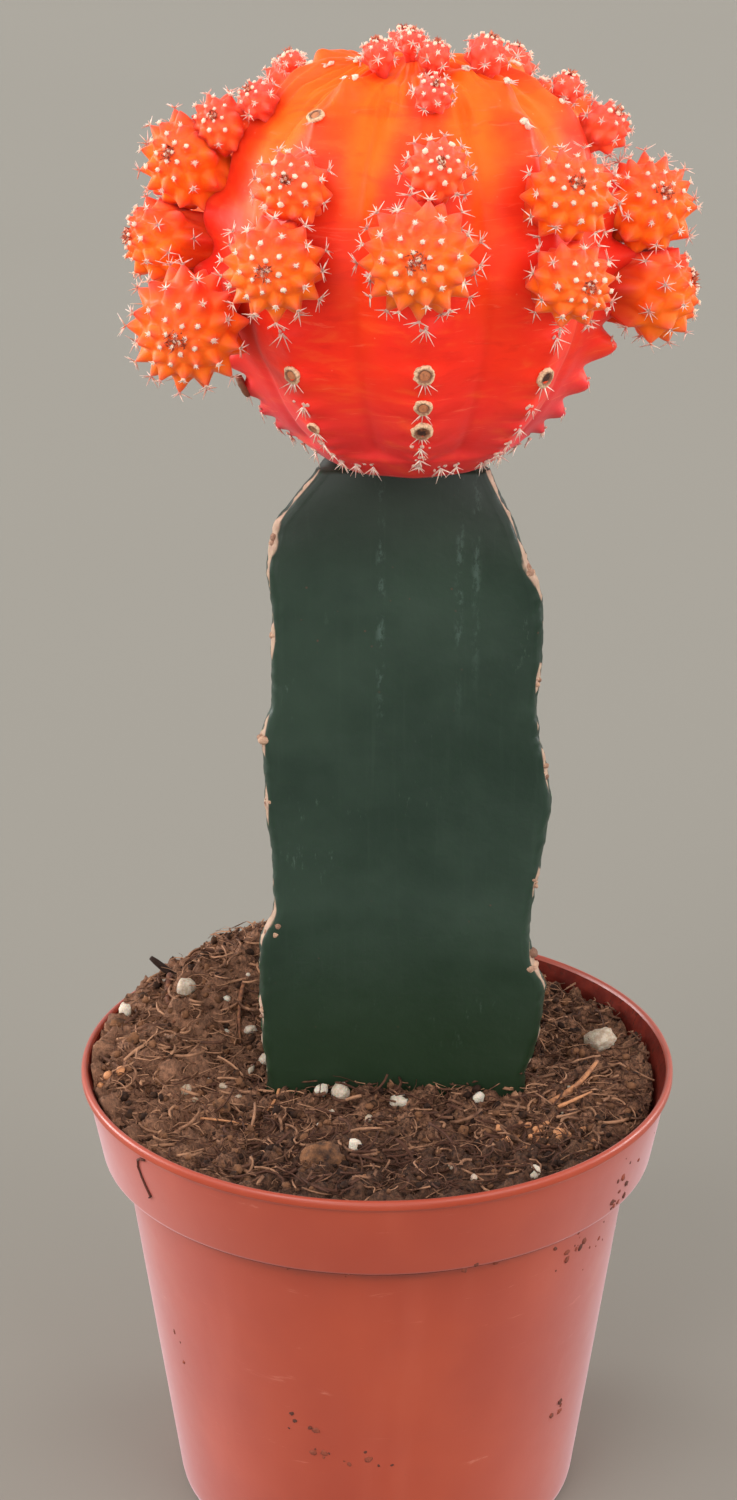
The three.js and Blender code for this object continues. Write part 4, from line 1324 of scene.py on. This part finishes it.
def wool_finish():
    return plain_finish(
        "areole_wool", (208, 150, 136), (252, 214, 184), 0.25, 0.85, 1.0, 0.08,
        Subsurface_Weight=0.3, Subsurface_Scale=0.0008, Sheen_Weight=0.4,
    )


def spine_finish():
    return plain_finish(
        "pale_spines", (252, 222, 204), (212, 166, 154), 0.8, 0.45, 0.6, 0.02,
        Subsurface_Weight=0.2, Subsurface_Scale=0.0006,
    )


# Old flower and offset scars on the head: rib, areole, ring radius, and how pale the hollow is.
SCARS = [
    (0, 4, 1.3, 0.8), (0, 5, 1.15, 0.9), (0, 6, 1.35, 0.2), (7, 4, 1.2, 1.2), (1, 4, 1.3, 0.1),
    (7, 0, 1.1, 1.5), (6, 5, 1.6, 0), (7, 6, 0.9, 0.6),
]
# Woolly areoles near the crown: bearing and latitude.
CROWN_AREOLES = [
    (-35, 61), (48, 58), (38, 68), (-81, 67), (-72, 74), (-96, 62), (103, 62), (97, 54),
    (66, 65), (135, 66), (-132, 60), (-120, 70), (160, 74), (183, 73),
]
# Areoles round the base of the head, whose spines hang over the stock: their bearings, and how
# far out and how far below the middle of the head they stand.
BASE_AREOLES = [-64, -40, -31, -21, 15, 24, 40, 56, 110, 150, 200, 245]
BASE_REACH = 14.1
BASE_DROP = 23.9


def head_place(bearing, latitude, crest, rise):
    """Place on the head, and its outward and downward directions."""
    out = direction(bearing, latitude)
    reach = head_radius(latitude, crest, rise) + crown_fullness(latitude) + lobe_rise(out)
    return HEAD + out * float(reach), out, direction(bearing, latitude - 90)


def rib_place(rib, count):
    """Place of an areole of a rib, and its outward and downward directions."""
    latitude = float(AREOLE_ROWS[rib][count])
    return head_place(RIB_BEARINGS[rib], latitude, 1.0, 0.62 * CHIN_STRENGTH[rib])


def taken(place):
    return any((place - offset.middle).length < offset.radius * 1.05 for offset in offsets)


def scar_ring(rib, count, radius, pale, draw):
    """A ring of cork, lying flat. It stays brown round a dark hollow."""
    bm = tinted_bmesh()
    tube = ops.create_circle(bm, segments=12, radius=0.27 * radius)["verts"]
    ops.transform(bm, verts=tube, matrix=Matrix.Translation((0.76 * radius, 0, 0)) @ ON_EDGE)
    spin(bm, bm.verts[:] + bm.edges[:], 36)
    for vert in bm.verts:
        point = vert.co / 0.7 + Vector((rib, count, 0))
        vert.co *= 1 + 0.16 * noise.fractal(point, 0.6, 2, 3)
    outer = ease(np.hypot(*places(bm)[:, :2].T) / radius, 0.55, 0.95)
    tints = outer * np.array([draw.uniform(0.5, 1.0) for _ in bm.verts])
    mark(bm, "tint", tints - (0 if pale else 1))
    return bm


def scar_hollow(radius, pale):
    """The dished middle of a scar, lying flat."""
    bm = tinted_bmesh()
    ops.create_icosphere(bm, subdivisions=3, radius=0.66 * radius)
    for vert in bm.verts:
        vert.co.z *= 0.34
        vert.co *= 1 + 0.15 * noise.fractal(vert.co / 0.4, 0.6, 2, 2)
    outer = ease(np.hypot(*places(bm)[:, :2].T) / radius, 0.1, 0.55)
    mark(bm, "tint", np.clip(pale + 0.35 * outer - 0.2, 0, 1))
    return bm


def make_scars():
    """Cork rings round brown hollows."""
    rings, hollows = [], []
    draw = random.Random(77)
    for rib, count, radius, pale in SCARS:
        place, out, down = rib_place(rib, count)
        way = (out - 0.15 * down).normalized()
        rings.append(scar_ring(rib, count, radius, pale, draw))
        hollows.append(scar_hollow(radius, pale))
        for bm, proud in ((rings[-1], 0.1), (hollows[-1], 0.06)):
            ops.transform(bm, verts=bm.verts, matrix=aimed(place + out * proud, way))
        face_outwards(rings[-1])
    finish = plain_finish("scar_ring", (132, 84, 60), (238, 198, 158), 0.3, 0.7, 0.9, 0.08)
    finished(merged(rings), "scar_rings", finish)
    finish = plain_finish("scar_hollow", (58, 28, 20), (206, 130, 88), 0.4, 0.8, 1.0, 0.2)
    finished(merged(hollows), "scar_hollows", finish)


def head_areoles():
    """The head's areoles: place, outward and downward directions, scarred, and row, which is
    below 1 where they are woolly."""
    scarred = {scar[:2] for scar in SCARS}
    spots = []
    for rib in range(len(RIB_BEARINGS)):
        for count in range(AREOLES_PER_RIB):
            spots.append((*rib_place(rib, count), (rib, count) in scarred, count))
    for bearing, latitude in CROWN_AREOLES:
        spots.append((*head_place(bearing, latitude, 0.9, 0.2), False, -1))
    spots = [spot for spot in spots if not taken(spot[0])]
    for bearing in BASE_AREOLES:
        place = HEAD + direction(bearing, 0) * BASE_REACH - UP * BASE_DROP
        spots.append((place, direction(bearing, -30), direction(bearing, -120), False, 6))
    return spots


def dress_head():
    """Wool pads and spines of the head's own areoles."""
    draw = random.Random(301)
    pads, spines = tinted_bmesh(), tinted_bmesh()
    for place, out, down, scar, count in head_areoles():
        woolly = count <= 0
        side = out.cross(down)
        for _ in range(0 if scar else 8 if woolly else 4):
            shift = side * draw.gauss(0, 0.42) + down * draw.gauss(0, 0.28)
            size = draw.uniform(0.28, 0.52) if woolly else draw.uniform(0.2, 0.36)
            tint = draw.uniform(0.3, 1.2) if woolly else 0.25
            add_wool(pads, place + shift, out, size, draw, tint)
        number = draw.randint(3, 5) if woolly else draw.randint(4, 6)
        root = place + down * (0.9 if scar else 0.2) + out * 0.1
        for spine in range(number):
            fan = math.radians(lerp(-75, 75, (spine + draw.uniform(0.2, 0.8)) / number))
            flat = down * math.cos(fan) + side * math.sin(fan)
            aim = (flat + out * draw.uniform(0.15, 0.7)).normalized()
            long = draw.uniform(0.8, 1.5) if woolly else draw.uniform(1.8, 3.2) * (1 - 0.05 * count)
            add_spine(spines, root, aim, long, HEAD_SPINE_THICKNESS, draw.uniform(0.1, 1.0))
    finished(pads, "scion_wool", wool_finish())
    finished(spines, "scion_spines", spine_finish())


# Floor and lights

FLOOR_HALF = 6
PLANT_MIDDLE = (0.004, 0, 0.12)
# Far lamps: name, where it stands, what it aims at, how many degrees wide it looks, strength.
LAMPS = [
    ("key", (-0.7, -1.0, 1.1), PLANT_MIDDLE, 34, 1.3),
    ("fill", (0.9, -0.9, 0.7), PLANT_MIDDLE, 36, 0.95),
    ("low_front", (-0.1, -1.3, 0.1), (0.004, 0, 0.16), 34, 1.15),
    ("left_edge", (-0.9, 0.3, 0.15), (0, 0, 0.04), 30, 3.6),
    ("right_edge", (0.9, 0.3, 0.15), (0, 0, 0.04), 30, 2.1),
]


def make_floor():
    bm = bmesh.new()
    ops.create_grid(bm, x_segments=2, y_segments=2, size=FLOOR_HALF)
    finish = Finish("pale_floor", (136, 132, 124), Roughness=0.9, Specular_IOR_Level=0.2)
    finish.paint(finish.clouds(400, 2), (139, 135, 127))
    floor = add_object("floor", mesh_of(bm, "floor"))
    floor.data.materials.append(finish.material)


def set_light():
    world = bpy.data.worlds.new("studio")
    world.use_nodes = True
    sky = world.node_tree.nodes["Background"].inputs
    sky["Color"].default_value = (1, 0.99, 0.97, 1)
    sky["Strength"].default_value = 0.9
    SCENE.world = world
    for name, place, target, softness, strength in LAMPS:
        lamp = add_object(name, bpy.data.lights.new(name, "SUN"))
        lamp.data.angle = math.radians(softness)
        lamp.data.energy = strength
        lamp.location = place
        aim = Vector(target) - Vector(place)
        lamp.rotation_euler = aim.to_track_quat("-Z", "Y").to_euler()
    SCENE.view_settings.view_transform = "Standard"


make_floor()
set_light()
make_pot()
make_wall_dirt()
make_soil()
make_fibres()
make_crumbs()
make_perlite()
make_bark()
make_sticks()
make_rootstock()
make_stem_areoles()
make_scion()
offset_tones = (238, 54, 18), (248, 80, 18), (254, 119, 26), (234, 98, 88)
offset_skin = flesh_finish("offset_flesh_skin", *offset_tones, 0.22, 0.1)
for offset in offsets:
    make_offset(offset, offset_skin)
dress_offsets()
make_scars()
dress_head()
